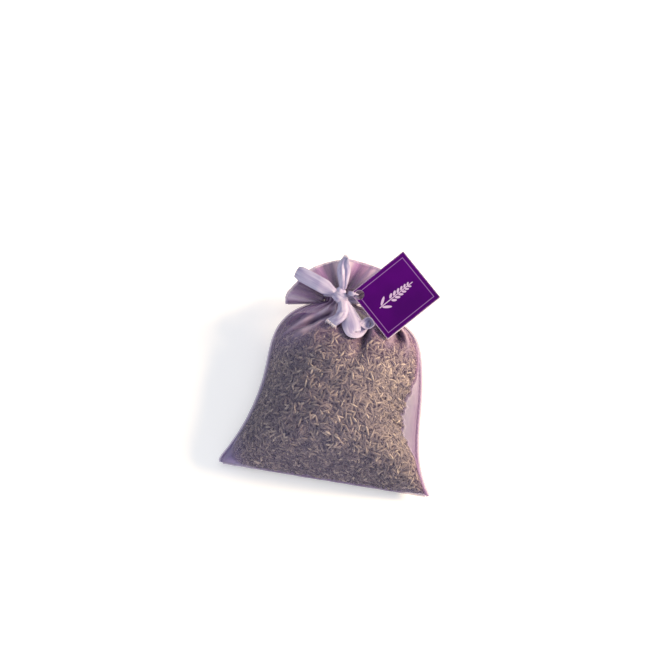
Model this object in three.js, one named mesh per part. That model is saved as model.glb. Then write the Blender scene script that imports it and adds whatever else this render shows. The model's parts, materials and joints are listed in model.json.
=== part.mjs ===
// Lavender sachet: a sheer organza bag of dried lavender, gathered at the neck, tied with a satin
// ribbon bow and carrying a folded card tag. It lies on its back. +Z is up, +Y runs from the bottom
// seam to the neck, and the origin is under the middle of its bounding box. Sizes are millimetres.
import * as THREE from "three";
import { mergeVertices } from "three/addons/utils/BufferGeometryUtils.js";

const { clamp, degToRad, lerp, smoothstep } = THREE.MathUtils;

// Gap between pieces that touch on the real sachet
const CLEARANCE = 0.3;

// Filled bag
const CORNER_HALF_WIDTH = 49.3; // bottom seam, from its middle to a corner
const WAIST_HALF_WIDTH = 35; // side seams, halfway up
const WAIST_SIDE_SHIFT = 2.8; // the bag leans to the right, halfway up
const CORNER_FLARE = 13; // length over which the sides draw in above a corner
const SHOULDER_SQUARENESS = 7; // a larger number keeps the bag wide for longer below the neck
const SHOULDER_FALL = 0.75; // a smaller number draws it in faster at the neck
const BODY_LENGTH = 80; // bottom seam to the lower edge of the tie
const SHOULDER_LENGTH = 42; // stretch below the tie where the bag draws in
const CROWN_HEIGHT = 26; // front panel above the side seams
const CROWN_FALL = 2.2; // a larger number keeps the front panel full for longer below the neck
const CROWN_RUN = 26; // length over which the front panel rises from the bottom seam
const BACK_RUN = 9; // length over which the back panel drops from the bottom seam
const BACK_SETTLE = 6; // how far the back would sag below the surface it lies on
const BOTTOM_SEAM_HEIGHT = 5;
const SIDE_SEAM_HEIGHT = 13;
const CLOTH_THICKNESS = 0.5;
const FULLNESS = 2.4; // power of the lens-shaped cross-section
const SIDE_BLUNTNESS = 0.9; // a smaller number makes the bag blunter at its side seams
const CORNER_BLUNTNESS = 0.6; // the same by the bottom corners
const CORNER_RUN = 25; // length over which the corners' shape passes into the sides'
const EAR_MARGIN = 5; // empty cloth in the left corner
const EAR_LENGTH = 4; // length over which it narrows
const STRIP_WIDTH = 4.2; // empty cloth beside the right seam
const STRIP_MIDDLE = 38; // its distance from the bottom seam
const STRIP_HALF_LENGTH = 20;

// Gathered neck
const NECK_RADIUS = 7.5;
const NECK_HEIGHT = 25; // middle of the gathers at the lower edge of the tie
const NECK_SIDE_SHIFT = -5.4;
const NECK_TILT = degToRad(25);
const PLEATS = 6; // gathers across one panel
const PLEAT_DEPTH = 1.2;

// Deep folds of the front panel below the tie. Places across it go from -1 at the left seam to 1 at the
// right. A fold starts shallow at its foot and is deepest in the middle of its length.
const FOLDS = [
  { atTie: -0.5, atFoot: -0.7, width: 0.065, length: 30, depth: 5.4 }, // left shoulder
  { atTie: 0.1, atFoot: -0.08, width: 0.05, length: 38, depth: 5.4 }, // below the bow
  { atTie: 0.42, atFoot: 0.46, width: 0.065, length: 28, depth: 5.2 }, // under the tag
];
const FOLD_RISE = 0.55; // share of a fold's length over which it deepens
const FOLD_END = 7; // folds run out this far below the tie

// Frill above the tie
const FRILL_LENGTH = 12.5; // from the tie to the middle of the mouth
const FRILL_HALF_SPREAD = 25.5; // reach of the side lobes from the middle of the neck
const FRILL_HALF_ANGLE = degToRad(97);
const FRILL_OPENING = 4; // each layer's rise from the middle of the mouth
const FRILL_WAVES = 5; // waves across one layer
const FRILL_WAVE_HEIGHT = 5.5;
const FRILL_DROOP = 6.4; // drop of the middle of the mouth
const LOBE_DROOP = 1.6; // further drop of the side lobes
const LOBE_FALL = 7.6; // side lobes turn back past the tie
const HEM_WIDTH = 1.6;
const HEM_THICKNESS = 0.9;

// Side and bottom seams
const SEAM_THICKNESS = 0.6;
const SEAM_INSET = 1.5; // overlap with the panels
const SEAM_FLANGE = 1.2; // seam allowance outside the panels

// Lavender inside
const FILL_INSET = 1.6; // below the panels' skin
const FILL_SIDE_MARGIN = 2; // beside the flat cloth at the seams
const FILL_FOOT = 1.5; // empty cloth above the bottom seam
const FILL_HEADROOM = 5; // empty cloth below the tie
const FILL_SHOULDER = 8; // length over which it rounds off below the neck

// Satin ribbon
const RIBBON_WIDTH = 7;
const RIBBON_THICKNESS = 0.4;
const WRAP_WIDTH = 1.6; // ribbon bunched where it goes round the neck
const WRAP_THICKNESS = 0.8;
const WRAP_TURNS = 2;
const WRAP_PITCH = 2.1;
const KNOT_HALF_WIDTH = 3;
const KNOT_HALF_LENGTH = 4;
const KNOT_HALF_HEIGHT = 3.2;
const KNOT_CREASES = 5;
const KNOT_CREASE = 0.05; // depth of a twisted crease, as a share of the knot's radius
const LEFT_LOOP_ANGLE = degToRad(154); // from the right, counter-clockwise, as the other angles here
const LEFT_LOOP_LENGTH = 20; // past the knot, as the other lengths here
const LEFT_LOOP_OPENING = 3.4;
const LEFT_LOOP_RISE = degToRad(7);
const RIGHT_LOOP_START = degToRad(-66);
const RIGHT_LOOP_END = degToRad(-36);
const RIGHT_LOOP_LENGTH = 13.5;
const CURL_WIDTH = 4; // height of the right loop's returning strand, which stands on edge
const LOWER_TAIL_ANGLE = degToRad(-119);
const LOWER_TAIL_LENGTH = 10;
const LOWER_TAIL_BEND = 1.6;
const UPPER_TAIL_LENGTH = 12.2;
const UPPER_TAIL_WIDTH = 5.6; // ribbon partly rolled up
const UPPER_TAIL_SWAY = 0.8;
const UPPER_TAIL_RISE = 2.4;
const UPPER_TAIL_TWIST = degToRad(200);
const STRAND_GAP = 1.6; // between a loop's two strands at the knot
const STRAND_WIDTH = 3.4; // ribbon bunched at the knot
const STRAND_RISE = 0.6; // draped strands leave the knot above its middle
const STRAND_CLEARANCE = 0.5; // further gap between the knot and a draped strand's corners
const RIBBON_LIFT = 1.3; // a draped strand's middle above the bag

// Card tag
const TAG_WIDTH = 31;
const TAG_HEIGHT = 27.5;
const TAG_THICKNESS = 0.4; // one leaf
const TAG_YAW = degToRad(47.5);
const TAG_OPEN = degToRad(3); // the front leaf springs open a little
const TAG_HOLE_RADIUS = 1.9;
const TAG_HOLE_FROM_SPINE = 2.7;
const TAG_HOLE_FROM_TOP = 3.2;
const TIE_RADIUS = 0.55; // ribbon bunched where it goes through the tag
const TIE_HEIGHT = 5; // loop above the tag
const TIE_DEPTH = 2.6; // loop below the tag
const TIE_RAISE = 1.6; // tie above the middle of the knot

// Facets
const COLUMNS = 44;
const FRILL_COLUMNS = 30;
const BODY_ROWS = 17;
const FRILL_ROWS = 7;
const FILL_COLUMNS = 32;
const FILL_ROWS = 17;
const RIBBON_STEPS = 26;
const DRAPE_POINTS = 9; // where a draped strand is laid on the bag
const WRAP_STEPS = 24; // in one turn
const TIE_STEPS = 32;
const TIE_SIDES = 8;

const CLOTH_EDGE = SEAM_THICKNESS / 2 + CLEARANCE + CLOTH_THICKNESS; // skin above the seam's middle
const WRAP_HALF_LENGTH = (WRAP_TURNS * WRAP_PITCH + WRAP_WIDTH) / 2;
const TIE_HALF_LENGTH = WRAP_HALF_LENGTH + 2 * CLEARANCE;
const neckOut = (across) => CLOTH_EDGE + (NECK_RADIUS - CLOTH_EDGE) * Math.sqrt(1 - across ** 2);
const NECK_REACH = Math.max(...steps(0, 1, COLUMNS).map((x) => Math.hypot(NECK_RADIUS * x, neckOut(x))));
const WRAP_INSIDE = NECK_REACH + CLEARANCE;
const WRAP_RADIUS = WRAP_INSIDE / Math.cos(Math.PI / WRAP_STEPS) + WRAP_THICKNESS / 2; // flats stay clear
const KNOT_RADIUS = WRAP_RADIUS + WRAP_THICKNESS / 2 + CLEARANCE + KNOT_HALF_HEIGHT;

function material(color, roughness) {
  return new THREE.MeshStandardMaterial({ color, roughness, metalness: 0 });
}

const organza = material("#b79bc9", 0.55);
const organzaSeam = material("#8f76ab", 0.6);
const lavender = material("#7d6b66", 0.95);
const satin = material("#d9cfe4", 0.35);
const card = material("#4a0763", 0.45);

// Joins points and triangles into one closed body whose faces point out.
function closedBody(points, corners) {
  const loose = new THREE.BufferGeometry().setFromPoints(points);
  loose.setIndex(corners);
  const joined = mergeVertices(loose, 1e-5);
  const index = [];
  for (let k = 0; k < joined.index.count; k += 3) {
    const [a, b, c] = [0, 1, 2].map((corner) => joined.index.getX(k + corner));
    if (a !== b && b !== c && c !== a) index.push(a, b, c);
  }
  const corner = (k) => new THREE.Vector3().fromBufferAttribute(joined.attributes.position, index[k]);
  let volume = 0;
  for (let k = 0; k < index.length; k += 3) {
    volume += corner(k).dot(corner(k + 1).cross(corner(k + 2)));
  }
  joined.setIndex(volume > 0 ? index : index.reverse());
  joined.computeVertexNormals();
  return joined;
}

// Closed body between two grids of points: a skin, a lining and the rim round their edges.
function shell(skin, lining) {
  const rows = skin.length;
  const columns = skin[0].length;
  const at = (layer, row, column) => (layer * rows + row) * columns + column;
  const corners = [];
  const quad = (a, b, c, d) => corners.push(a, b, c, a, c, d);
  for (let i = 0; i + 1 < rows; i++) {
    for (let j = 0; j + 1 < columns; j++) {
      quad(at(0, i, j), at(0, i, j + 1), at(0, i + 1, j + 1), at(0, i + 1, j));
      quad(at(1, i, j), at(1, i + 1, j), at(1, i + 1, j + 1), at(1, i, j + 1));
    }
  }
  const right = columns - 1;
  for (let i = 0; i + 1 < rows; i++) {
    quad(at(0, i, 0), at(0, i + 1, 0), at(1, i + 1, 0), at(1, i, 0));
    quad(at(0, i + 1, right), at(0, i, right), at(1, i, right), at(1, i + 1, right));
  }
  const top = rows - 1;
  for (let j = 0; j + 1 < columns; j++) {
    quad(at(0, 0, j + 1), at(0, 0, j), at(1, 0, j), at(1, 0, j + 1));
    quad(at(0, top, j), at(0, top, j + 1), at(1, top, j + 1), at(1, top, j));
  }
  return closedBody([...skin.flat(), ...lining.flat()], corners);
}

// Evenly spaced numbers from first to last
function steps(first, last, count) {
  return Array.from({ length: count + 1 }, (_, k) => lerp(first, last, k / count));
}

function grid(rows, columns, point) {
  return rows.map((row) => columns.map((column) => point(row, column)));
}

// The bag's form at a distance y from the bottom seam. Past the shoulder it is a straight neck.
const shoulder = (y) => clamp((y - BODY_LENGTH + SHOULDER_LENGTH) / SHOULDER_LENGTH, 0, 1);
const gathered = (y) => smoothstep(shoulder(y), 0, 1);
const neckTilt = (y) => NECK_TILT * shoulder(y) ** 2;
const quarterRound = (y, run) => Math.sqrt(1 - (1 - clamp(y / run, 0, 1)) ** 2);

function halfWidth(y) {
  const t = clamp(y / BODY_LENGTH, 0, 1);
  const drawnIn = (1 - t ** SHOULDER_SQUARENESS) ** SHOULDER_FALL;
  const flare = (CORNER_HALF_WIDTH - WAIST_HALF_WIDTH) * Math.exp(-y / CORNER_FLARE) * (1 - t);
  return lerp(NECK_RADIUS, WAIST_HALF_WIDTH, drawnIn) + flare;
}

function seamHeight(y) {
  const side = lerp(SIDE_SEAM_HEIGHT, BOTTOM_SEAM_HEIGHT, Math.exp(-Math.max(y, 0) / CORNER_FLARE));
  return side + (NECK_HEIGHT - SIDE_SEAM_HEIGHT) * shoulder(y) ** 2;
}

// Middle of a cross-section, in the plane of the side seams
function spine(y) {
  const past = Math.max(y - BODY_LENGTH, 0);
  return new THREE.Vector3(
    WAIST_SIDE_SHIFT * Math.sin(Math.PI * clamp(y / BODY_LENGTH, 0, 1)) + NECK_SIDE_SHIFT * shoulder(y) ** 2,
    y - past + past * Math.cos(NECK_TILT),
    seamHeight(y) + past * Math.sin(NECK_TILT),
  );
}

function frontSwell(y) {
  const swell = lerp(CROWN_HEIGHT, NECK_RADIUS - CLOTH_EDGE, shoulder(y) ** CROWN_FALL);
  return swell * quarterRound(y, CROWN_RUN);
}

function backSwell(y) {
  const swell = lerp(seamHeight(y) + BACK_SETTLE, NECK_RADIUS - CLOTH_EDGE, gathered(y));
  return swell * quarterRound(y, BACK_RUN);
}

// Width of flat, empty cloth beside a side seam
function flatMargin(side, y) {
  const ear = EAR_MARGIN * Math.exp(-Math.max(y, 0) / EAR_LENGTH);
  const strip = STRIP_WIDTH * Math.exp(-(((y - STRIP_MIDDLE) / STRIP_HALF_LENGTH) ** 4));
  return (side < 0 ? ear : strip) * (1 - gathered(y));
}

// Shape of half a cross-section, 1 in the middle and 0 at the seams: a lens that turns round at the neck
function lens(across, y) {
  const power = lerp(FULLNESS, 2, gathered(y));
  const sides = lerp(CORNER_BLUNTNESS, SIDE_BLUNTNESS, smoothstep(y, 0, CORNER_RUN));
  return clamp(1 - Math.abs(across) ** power, 0, 1) ** lerp(sides, 0.5, gathered(y));
}

// The same between the flat margins
function section(across, y) {
  return lens((across * halfWidth(y)) / (halfWidth(y) - flatMargin(across, y)), y);
}

// Depth of the deep folds at a place across the front panel
function foldDepth(across, y) {
  const turn = (2 / Math.PI) * Math.asin(clamp(across, -1, 1));
  const end = 1 - smoothstep(y, BODY_LENGTH - FOLD_END, BODY_LENGTH);
  return FOLDS.reduce((depth, fold) => {
    const run = clamp((y - BODY_LENGTH + fold.length) / fold.length, 0, 1);
    const away = (turn - lerp(fold.atFoot, fold.atTie, run)) / fold.width;
    return depth + fold.depth * smoothstep(run, 0, FOLD_RISE) * end * Math.exp(-(away ** 2));
  }, 0);
}

function pleat(across) {
  const turn = Math.asin(clamp(across, -1, 1)) / Math.PI + 0.5;
  return (PLEAT_DEPTH * (1 - Math.cos(2 * Math.PI * PLEATS * turn))) / 2;
}

// Point of a cross-section, out from the plane of the seams: forward for side 1, back for side -1
function sectionPoint(side, x, y, out) {
  const tilt = neckTilt(y);
  const lean = new THREE.Vector3(x, -side * out * Math.sin(tilt), side * out * Math.cos(tilt));
  return spine(y).add(lean);
}

function panelPoint(side, across, y, depth) {
  const swell = side > 0 ? frontSwell(y) : backSwell(y);
  const dips = pleat(across) * shoulder(y) ** 2 + (side > 0 ? foldDepth(across, y) : 0);
  const out = CLOTH_EDGE - depth + Math.max(swell * section(across, y) - dips, 0);
  const point = sectionPoint(side, (halfWidth(y) - depth) * across, y, out);
  point.z = Math.max(point.z, depth);
  return point;
}

// Height of the front panel's smooth outside over a point of the ground
function frontHeight(x, groundY) {
  let y = groundY;
  let out = 0;
  for (let k = 0; k < 20; k++) {
    y = clamp(y, 0, BODY_LENGTH);
    const across = clamp((x - spine(y).x) / halfWidth(y), -1, 1);
    out = CLOTH_EDGE + frontSwell(y) * section(across, y);
    y = groundY + out * Math.sin(neckTilt(y));
  }
  return seamHeight(y) + out * Math.cos(neckTilt(y));
}

const NECK_LENGTH = BODY_LENGTH + TIE_HALF_LENGTH;
const waveSpacing = (t) => (1 - Math.cos(Math.PI * t)) / 2;
const panelRows = [...steps(0, 1, BODY_ROWS).map((t) => BODY_LENGTH * waveSpacing(t)), NECK_LENGTH];
const panelColumns = steps(-Math.PI / 2, Math.PI / 2, COLUMNS).map(Math.sin);

function panel(side) {
  const layer = (depth) => grid(panelRows, panelColumns, (y, across) => panelPoint(side, across, y, depth));
  return shell(layer(0), layer(CLOTH_THICKNESS));
}

// Lavender: fills the bag between the flat margins and follows the front panel's folds.
function fill() {
  const last = BODY_LENGTH - FILL_HEADROOM;
  const fullness = (y) => quarterRound(last - y, FILL_SHOULDER);
  const rows = steps(0, 1, FILL_ROWS).map((t) => lerp(FILL_FOOT, last, waveSpacing(t)));
  const columns = steps(-Math.PI / 2, Math.PI / 2, FILL_COLUMNS).map(Math.sin);
  const layer = (side) => grid(rows, columns, (y, across) => {
    const x = (halfWidth(y) - flatMargin(across, y) - FILL_SIDE_MARGIN) * across;
    const place = x / halfWidth(y);
    const swell = side > 0 ? frontSwell(y) : backSwell(y);
    const dips = FILL_INSET + pleat(place) * shoulder(y) ** 2 + (side > 0 ? foldDepth(place, y) : 0);
    const out = Math.max(swell * section(place, y) - dips, 0) * fullness(y) * (1 - across ** 8);
    const point = sectionPoint(side, x, y, out);
    point.z = Math.max(point.z, CLOTH_THICKNESS + CLEARANCE);
    return point;
  });
  return shell(layer(1), layer(-1));
}

// Group whose origin is the middle of the tie: X to the right, Y along the neck, Z out to the front
const neck = new THREE.Group();
neck.position.copy(spine(NECK_LENGTH));
neck.rotation.x = NECK_TILT;
neck.updateMatrix();

// Point of the frill in the neck's frame. Reach is the distance past the tie, and it is negative
// under the tie, where the cloth is still gathered.
function frillPoint(side, turn, reach, depth) {
  const spread = Math.max(reach, 0) / FRILL_LENGTH;
  const gather = (turn * Math.PI) / 2;
  const fan = turn * FRILL_HALF_ANGLE;
  const wave = (1 - Math.cos(Math.PI * FRILL_WAVES * (turn + 1))) / 2;
  const across = lerp(NECK_RADIUS * Math.sin(gather), FRILL_HALF_SPREAD * Math.sin(fan), spread);
  const rise = lerp(NECK_RADIUS - CLOTH_EDGE, FRILL_OPENING, spread) * Math.cos(gather);
  const folds = FRILL_WAVE_HEIGHT * wave * spread - pleat(Math.sin(gather)) * Math.max(1 - spread, 0);
  const droop = spread ** 2 * (FRILL_DROOP + LOBE_DROOP * Math.sin(fan) ** 2);
  const fall = LOBE_FALL * Math.sin(fan) ** 2 * smoothstep(spread, 0.1, 0.5);
  return new THREE.Vector3(
    across - depth * Math.sin(gather) * Math.max(1 - spread, 0),
    TIE_HALF_LENGTH + Math.min(reach, 0) + FRILL_LENGTH * spread * Math.cos(fan) - fall,
    side * (CLOTH_EDGE - depth + rise + folds) - droop,
  );
}

const frillColumns = steps(-1, 1, FRILL_COLUMNS);

function frill(side) {
  const rows = [CLEARANCE - TIE_HALF_LENGTH, ...steps(0, FRILL_LENGTH, FRILL_ROWS)];
  const layer = (depth) => grid(rows, frillColumns, (reach, turn) => frillPoint(side, turn, reach, depth));
  return shell(layer(0), layer(CLOTH_THICKNESS));
}

// Rolled hem along the mouth of one layer
function hem(side) {
  const rows = [FRILL_LENGTH + CLEARANCE, FRILL_LENGTH + CLEARANCE + HEM_WIDTH];
  const proud = (HEM_THICKNESS - CLOTH_THICKNESS) / 2;
  const ends = clamp(1 - CLEARANCE / FRILL_LENGTH, 0, 1);
  const layer = (depth) =>
    grid(rows, frillColumns, (reach, turn) => frillPoint(side, turn * ends, reach, depth));
  return shell(layer(-proud), layer(CLOTH_THICKNESS + proud));
}

// Seam down one side, from the bottom corner through the tie to the mouth of the frill
function sideSeam(side) {
  const body = [-SEAM_FLANGE, ...panelRows].map((y) => ({
    edge: spine(y).setX(spine(y).x + side * halfWidth(Math.max(y, 0))),
    outward: new THREE.Vector3(side, 0, 0),
    normal: new THREE.Vector3(0, -Math.sin(neckTilt(y)), Math.cos(neckTilt(y))),
    flange: SEAM_FLANGE * (1 - gathered(y)),
  }));
  const mouth = new THREE.Vector3(side * Math.cos(FRILL_HALF_ANGLE), -Math.sin(FRILL_HALF_ANGLE), 0);
  const frillRows = steps(0, FRILL_LENGTH, FRILL_ROWS).map((reach) => {
    const spread = reach / FRILL_LENGTH;
    const turned = new THREE.Vector3(side, 0, 0).lerp(mouth, smoothstep(spread, 0, 0.4)).normalize();
    return {
      edge: frillPoint(1, side, reach, CLOTH_EDGE).applyMatrix4(neck.matrix),
      outward: turned.transformDirection(neck.matrix),
      normal: new THREE.Vector3(0, 0, 1).transformDirection(neck.matrix),
      flange: SEAM_FLANGE * smoothstep(spread, 0.2, 0.6),
    };
  });
  const layer = (sign) => [...body, ...frillRows].map(({ edge, outward, normal, flange }) =>
    [-SEAM_INSET, flange].map((reach) => edge.clone()
      .addScaledVector(outward, reach)
      .addScaledVector(normal, (sign * SEAM_THICKNESS) / 2)));
  return shell(layer(1), layer(-1));
}

function bottomSeam() {
  const end = halfWidth(SEAM_INSET) - SEAM_INSET - CLEARANCE;
  const layer = (sign) => grid([-SEAM_FLANGE, 0, SEAM_INSET], steps(-end, end, 1), (y, x) =>
    new THREE.Vector3(x, y, seamHeight(y) + (sign * SEAM_THICKNESS) / 2));
  return shell(layer(1), layer(-1));
}

// Ribbon along a path. For t from 0 to 1 the path gives its middle, the way across it and its width.
function ribbon(path, thickness, count) {
  const stations = steps(0, 1, count);
  const nudge = 1e-4;
  const layer = (sign) => stations.map((t) => {
    const { middle, across, width } = path(t);
    const along = path(Math.min(t + nudge, 1)).middle.clone().sub(path(Math.max(t - nudge, 0)).middle);
    const way = across.clone().addScaledVector(along, -across.dot(along) / along.lengthSq()).normalize();
    const normal = along.clone().cross(way).normalize();
    return [-1, 0, 1].map((edge) => middle.clone()
      .addScaledVector(way, (edge * width) / 2)
      .addScaledVector(normal, (sign * thickness) / 2));
  });
  return shell(layer(1), layer(-1));
}

// Two turns of bunched ribbon round the neck, one unbroken band whose ends lie under the knot
function wrapPath(t) {
  const angle = 2 * Math.PI * WRAP_TURNS * t;
  return {
    middle: new THREE.Vector3(
      WRAP_RADIUS * Math.sin(angle),
      WRAP_PITCH * WRAP_TURNS * (t - 0.5),
      WRAP_RADIUS * Math.cos(angle),
    ),
    across: new THREE.Vector3(0, 1, 0),
    width: WRAP_WIDTH,
  };
}

// Least distance between neighbouring turns of the wrap, edge to edge
function wrapGap() {
  const turn = 1 / WRAP_TURNS;
  const points = steps(0, 1 - turn, WRAP_STEPS);
  const apart = points.map((t) => wrapPath(t).middle.distanceTo(wrapPath(t + turn).middle));
  return Math.min(...apart) - WRAP_WIDTH;
}

// Knot: a rounded lump with twisted creases
function knot() {
  const shape = new THREE.SphereGeometry(1, 20, 12);
  const points = [];
  for (let k = 0; k < shape.attributes.position.count; k++) {
    const point = new THREE.Vector3().fromBufferAttribute(shape.attributes.position, k);
    const around = Math.atan2(point.z, point.x);
    const waist = 1 - point.y ** 2;
    const crease = 1 - KNOT_CREASE * waist * (1 + Math.cos(KNOT_CREASES * around + 2 * point.y));
    points.push(point.multiplyScalar(crease));
  }
  const lump = closedBody(points, Array.from(shape.index.array));
  return lump.scale(KNOT_HALF_WIDTH, KNOT_HALF_LENGTH, KNOT_HALF_HEIGHT);
}

// Distance from the middle of the knot to just outside it, in a direction across the front
function knotReach(angle) {
  return 1 / Math.hypot(Math.cos(angle) / KNOT_HALF_WIDTH, Math.sin(angle) / KNOT_HALF_LENGTH) + CLEARANCE;
}

// Group whose origin is the middle of the knot, in the neck's directions
const bow = new THREE.Group();
bow.position.z = KNOT_RADIUS;
neck.add(bow);
neck.updateMatrixWorld(true);

// Flat loop to the left: out from the knot, round a soft bend and back underneath
function leftLoopPath(t) {
  const outward = new THREE.Vector3(Math.cos(LEFT_LOOP_ANGLE), Math.sin(LEFT_LOOP_ANGLE), 0);
  const reach = (1 - Math.cos(2 * Math.PI * t)) / 2;
  const distance = knotReach(LEFT_LOOP_ANGLE) + LEFT_LOOP_LENGTH * reach;
  const opening = (LEFT_LOOP_OPENING * Math.sin(2 * Math.PI * t) + STRAND_GAP * Math.cos(Math.PI * t)) / 2;
  const middle = outward.clone().multiplyScalar(distance);
  middle.z = opening + LEFT_LOOP_LENGTH * reach * Math.tan(LEFT_LOOP_RISE);
  return {
    middle,
    across: new THREE.Vector3(-outward.y, outward.x, 0),
    width: lerp(STRAND_WIDTH, RIBBON_WIDTH, smoothstep(reach, 0, 0.6)),
  };
}

// Raises a point of the bow's frame until it lies clear of the front panel.
function restOnBag(point, lift) {
  const rested = point.clone();
  for (let k = 0; k < 20; k++) {
    const world = rested.clone().applyMatrix4(bow.matrixWorld);
    const gap = world.z - frontHeight(world.x, world.y);
    rested.z += Math.max(lift - gap, 0) / Math.cos(NECK_TILT);
  }
  return rested;
}

// Direction out of the front panel under a point of the bow's frame, in that frame
function bagNormal(point) {
  const world = point.clone().applyMatrix4(bow.matrixWorld);
  const rise = (dx, dy) => frontHeight(world.x + dx, world.y + dy) - frontHeight(world.x - dx, world.y - dy);
  const normal = new THREE.Vector3(-rise(0.5, 0), -rise(0, 0.5), 1).normalize();
  return normal.transformDirection(bow.matrixWorld.clone().invert());
}

// Path of a strand that lies on the bag. For t from 0 to 1 the route gives a point of the bow's x and y,
// the ribbon's width there, and how far it is turned: 0 where it lies flat and 1 where it stands on edge.
function drapedPath(route, count) {
  const rested = steps(0, 1, count).map((t) => {
    const { x, y, width, turned } = route(t);
    return restOnBag(new THREE.Vector3(x, y, STRAND_RISE), RIBBON_LIFT + (turned * width) / 2);
  });
  const curve = new THREE.CatmullRomCurve3(rested);
  return (t) => {
    const { width, turned } = route(t);
    const middle = curve.getPoint(t);
    const normal = bagNormal(middle);
    const flat = normal.clone().cross(curve.getTangent(t)).normalize();
    const turn = (turned * Math.PI) / 2;
    return {
      middle,
      across: flat.multiplyScalar(Math.cos(turn)).addScaledVector(normal, Math.sin(turn)),
      width,
    };
  };
}

// Loop that hangs over the front: a broad petal, then a strand on edge that curls back to the knot
function rightLoopRoute(t) {
  const curl = smoothstep(t, 0.3, 0.65);
  const angle = lerp(RIGHT_LOOP_START, RIGHT_LOOP_END, curl);
  const distance = knotReach(angle) + STRAND_CLEARANCE + RIGHT_LOOP_LENGTH * Math.sin(Math.PI * t);
  const petal = lerp(STRAND_WIDTH, RIBBON_WIDTH, smoothstep(t, 0, 0.25));
  return {
    x: distance * Math.cos(angle),
    y: distance * Math.sin(angle),
    width: lerp(petal, lerp(CURL_WIDTH, STRAND_WIDTH, t ** 4), curl),
    turned: curl * (1 - 0.3 * smoothstep(t, 0.8, 1)),
  };
}

function lowerTailRoute(t) {
  const distance = knotReach(LOWER_TAIL_ANGLE) + STRAND_CLEARANCE + LOWER_TAIL_LENGTH * t;
  const bend = LOWER_TAIL_BEND * Math.sin(Math.PI * t);
  return {
    x: distance * Math.cos(LOWER_TAIL_ANGLE) - bend * Math.sin(LOWER_TAIL_ANGLE),
    y: distance * Math.sin(LOWER_TAIL_ANGLE) + bend * Math.cos(LOWER_TAIL_ANGLE),
    width: lerp(STRAND_WIDTH, RIBBON_WIDTH, t),
    turned: 0,
  };
}

// Tail that stands over the frill and twists as it goes
function upperTailPath(t) {
  const twist = UPPER_TAIL_TWIST * t;
  return {
    middle: new THREE.Vector3(
      UPPER_TAIL_SWAY * Math.sin(3 * Math.PI * t),
      KNOT_HALF_LENGTH + CLEARANCE + UPPER_TAIL_LENGTH * t,
      STRAND_RISE + UPPER_TAIL_RISE * Math.sin((t * Math.PI) / 2),
    ),
    across: new THREE.Vector3(Math.cos(twist), 0, Math.sin(twist)),
    width: lerp(STRAND_WIDTH, UPPER_TAIL_WIDTH, smoothstep(t, 0, 0.6)),
  };
}

// Tie: a loop of bunched ribbon from the knot through the tag's hole. The tag's corner turns inside it.
const TAG_CORNER_REACH = Math.hypot(TAG_HOLE_FROM_SPINE, TAG_HOLE_FROM_TOP);
const TIE_HALF_SPAN = (TAG_CORNER_REACH + TIE_RADIUS + CLEARANCE) / 2;

const tie = new THREE.Group();
tie.name = "tag_lift_pivot";
tie.position.set(KNOT_HALF_WIDTH + CLEARANCE + TIE_RADIUS, TIE_RAISE, 0);
bow.add(tie);

class TieCurve extends THREE.Curve {
  getPoint(t) {
    const turn = 2 * Math.PI * t;
    const height = turn < Math.PI ? TIE_HEIGHT : TIE_DEPTH;
    return new THREE.Vector3(TIE_HALF_SPAN * (1 - Math.cos(turn)), 0, height * Math.sin(turn));
  }
}

function tieLoop() {
  return new THREE.TubeGeometry(new TieCurve(), TIE_STEPS, TIE_RADIUS, TIE_SIDES, true);
}

// One leaf of the folded tag, with the hole at the origin
function leaf(bottom) {
  const left = -TAG_HOLE_FROM_SPINE;
  const top = TAG_HOLE_FROM_TOP;
  const outline = new THREE.Shape([
    new THREE.Vector2(left, top - TAG_HEIGHT),
    new THREE.Vector2(left + TAG_WIDTH, top - TAG_HEIGHT),
    new THREE.Vector2(left + TAG_WIDTH, top),
    new THREE.Vector2(left, top),
  ]);
  outline.holes.push(new THREE.Path().absarc(0, 0, TAG_HOLE_RADIUS, 0, 2 * Math.PI, true));
  const solid = new THREE.ExtrudeGeometry(outline, {
    depth: TAG_THICKNESS,
    bevelEnabled: false,
    curveSegments: 20,
  });
  return solid.translate(0, 0, bottom);
}

const tag = new THREE.Group();
tag.name = "tag_swing_pivot";
tag.position.x = 2 * TIE_HALF_SPAN;
tie.add(tag);

const frontLeafHinge = new THREE.Group();
frontLeafHinge.name = "tag_open_pivot";
frontLeafHinge.position.set(-TAG_HOLE_FROM_SPINE, 0, CLEARANCE / 2);
frontLeafHinge.rotation.y = -TAG_OPEN;
tag.add(frontLeafHinge);

// Least height of the tag's underside over the bag when its lower edge is raised by an angle
function tagGap(raise) {
  tag.rotation.set(-raise, 0, TAG_YAW);
  neck.updateMatrixWorld(true);
  const columns = steps(-TAG_HOLE_FROM_SPINE, TAG_WIDTH - TAG_HOLE_FROM_SPINE, 10);
  const rows = steps(TAG_HOLE_FROM_TOP - TAG_HEIGHT, TAG_HOLE_FROM_TOP, 10);
  const gaps = grid(rows, columns, (v, u) => {
    const point = tag.localToWorld(new THREE.Vector3(u, v, -TAG_THICKNESS - CLEARANCE / 2));
    return point.z - frontHeight(point.x, point.y);
  });
  return Math.min(...gaps.flat());
}

// The tag lies down until it meets the bag's shoulder.
function layTagDown() {
  let low = degToRad(-20);
  let high = degToRad(60);
  for (let k = 0; k < 24; k++) {
    const middle = (low + high) / 2;
    if (tagGap(middle) < CLEARANCE) low = middle;
    else high = middle;
  }
  tagGap(high);
}

layTagDown();

function add(parent, name, geometry, finish) {
  const mesh = new THREE.Mesh(geometry, finish);
  mesh.name = name;
  parent.add(mesh);
}

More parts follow.
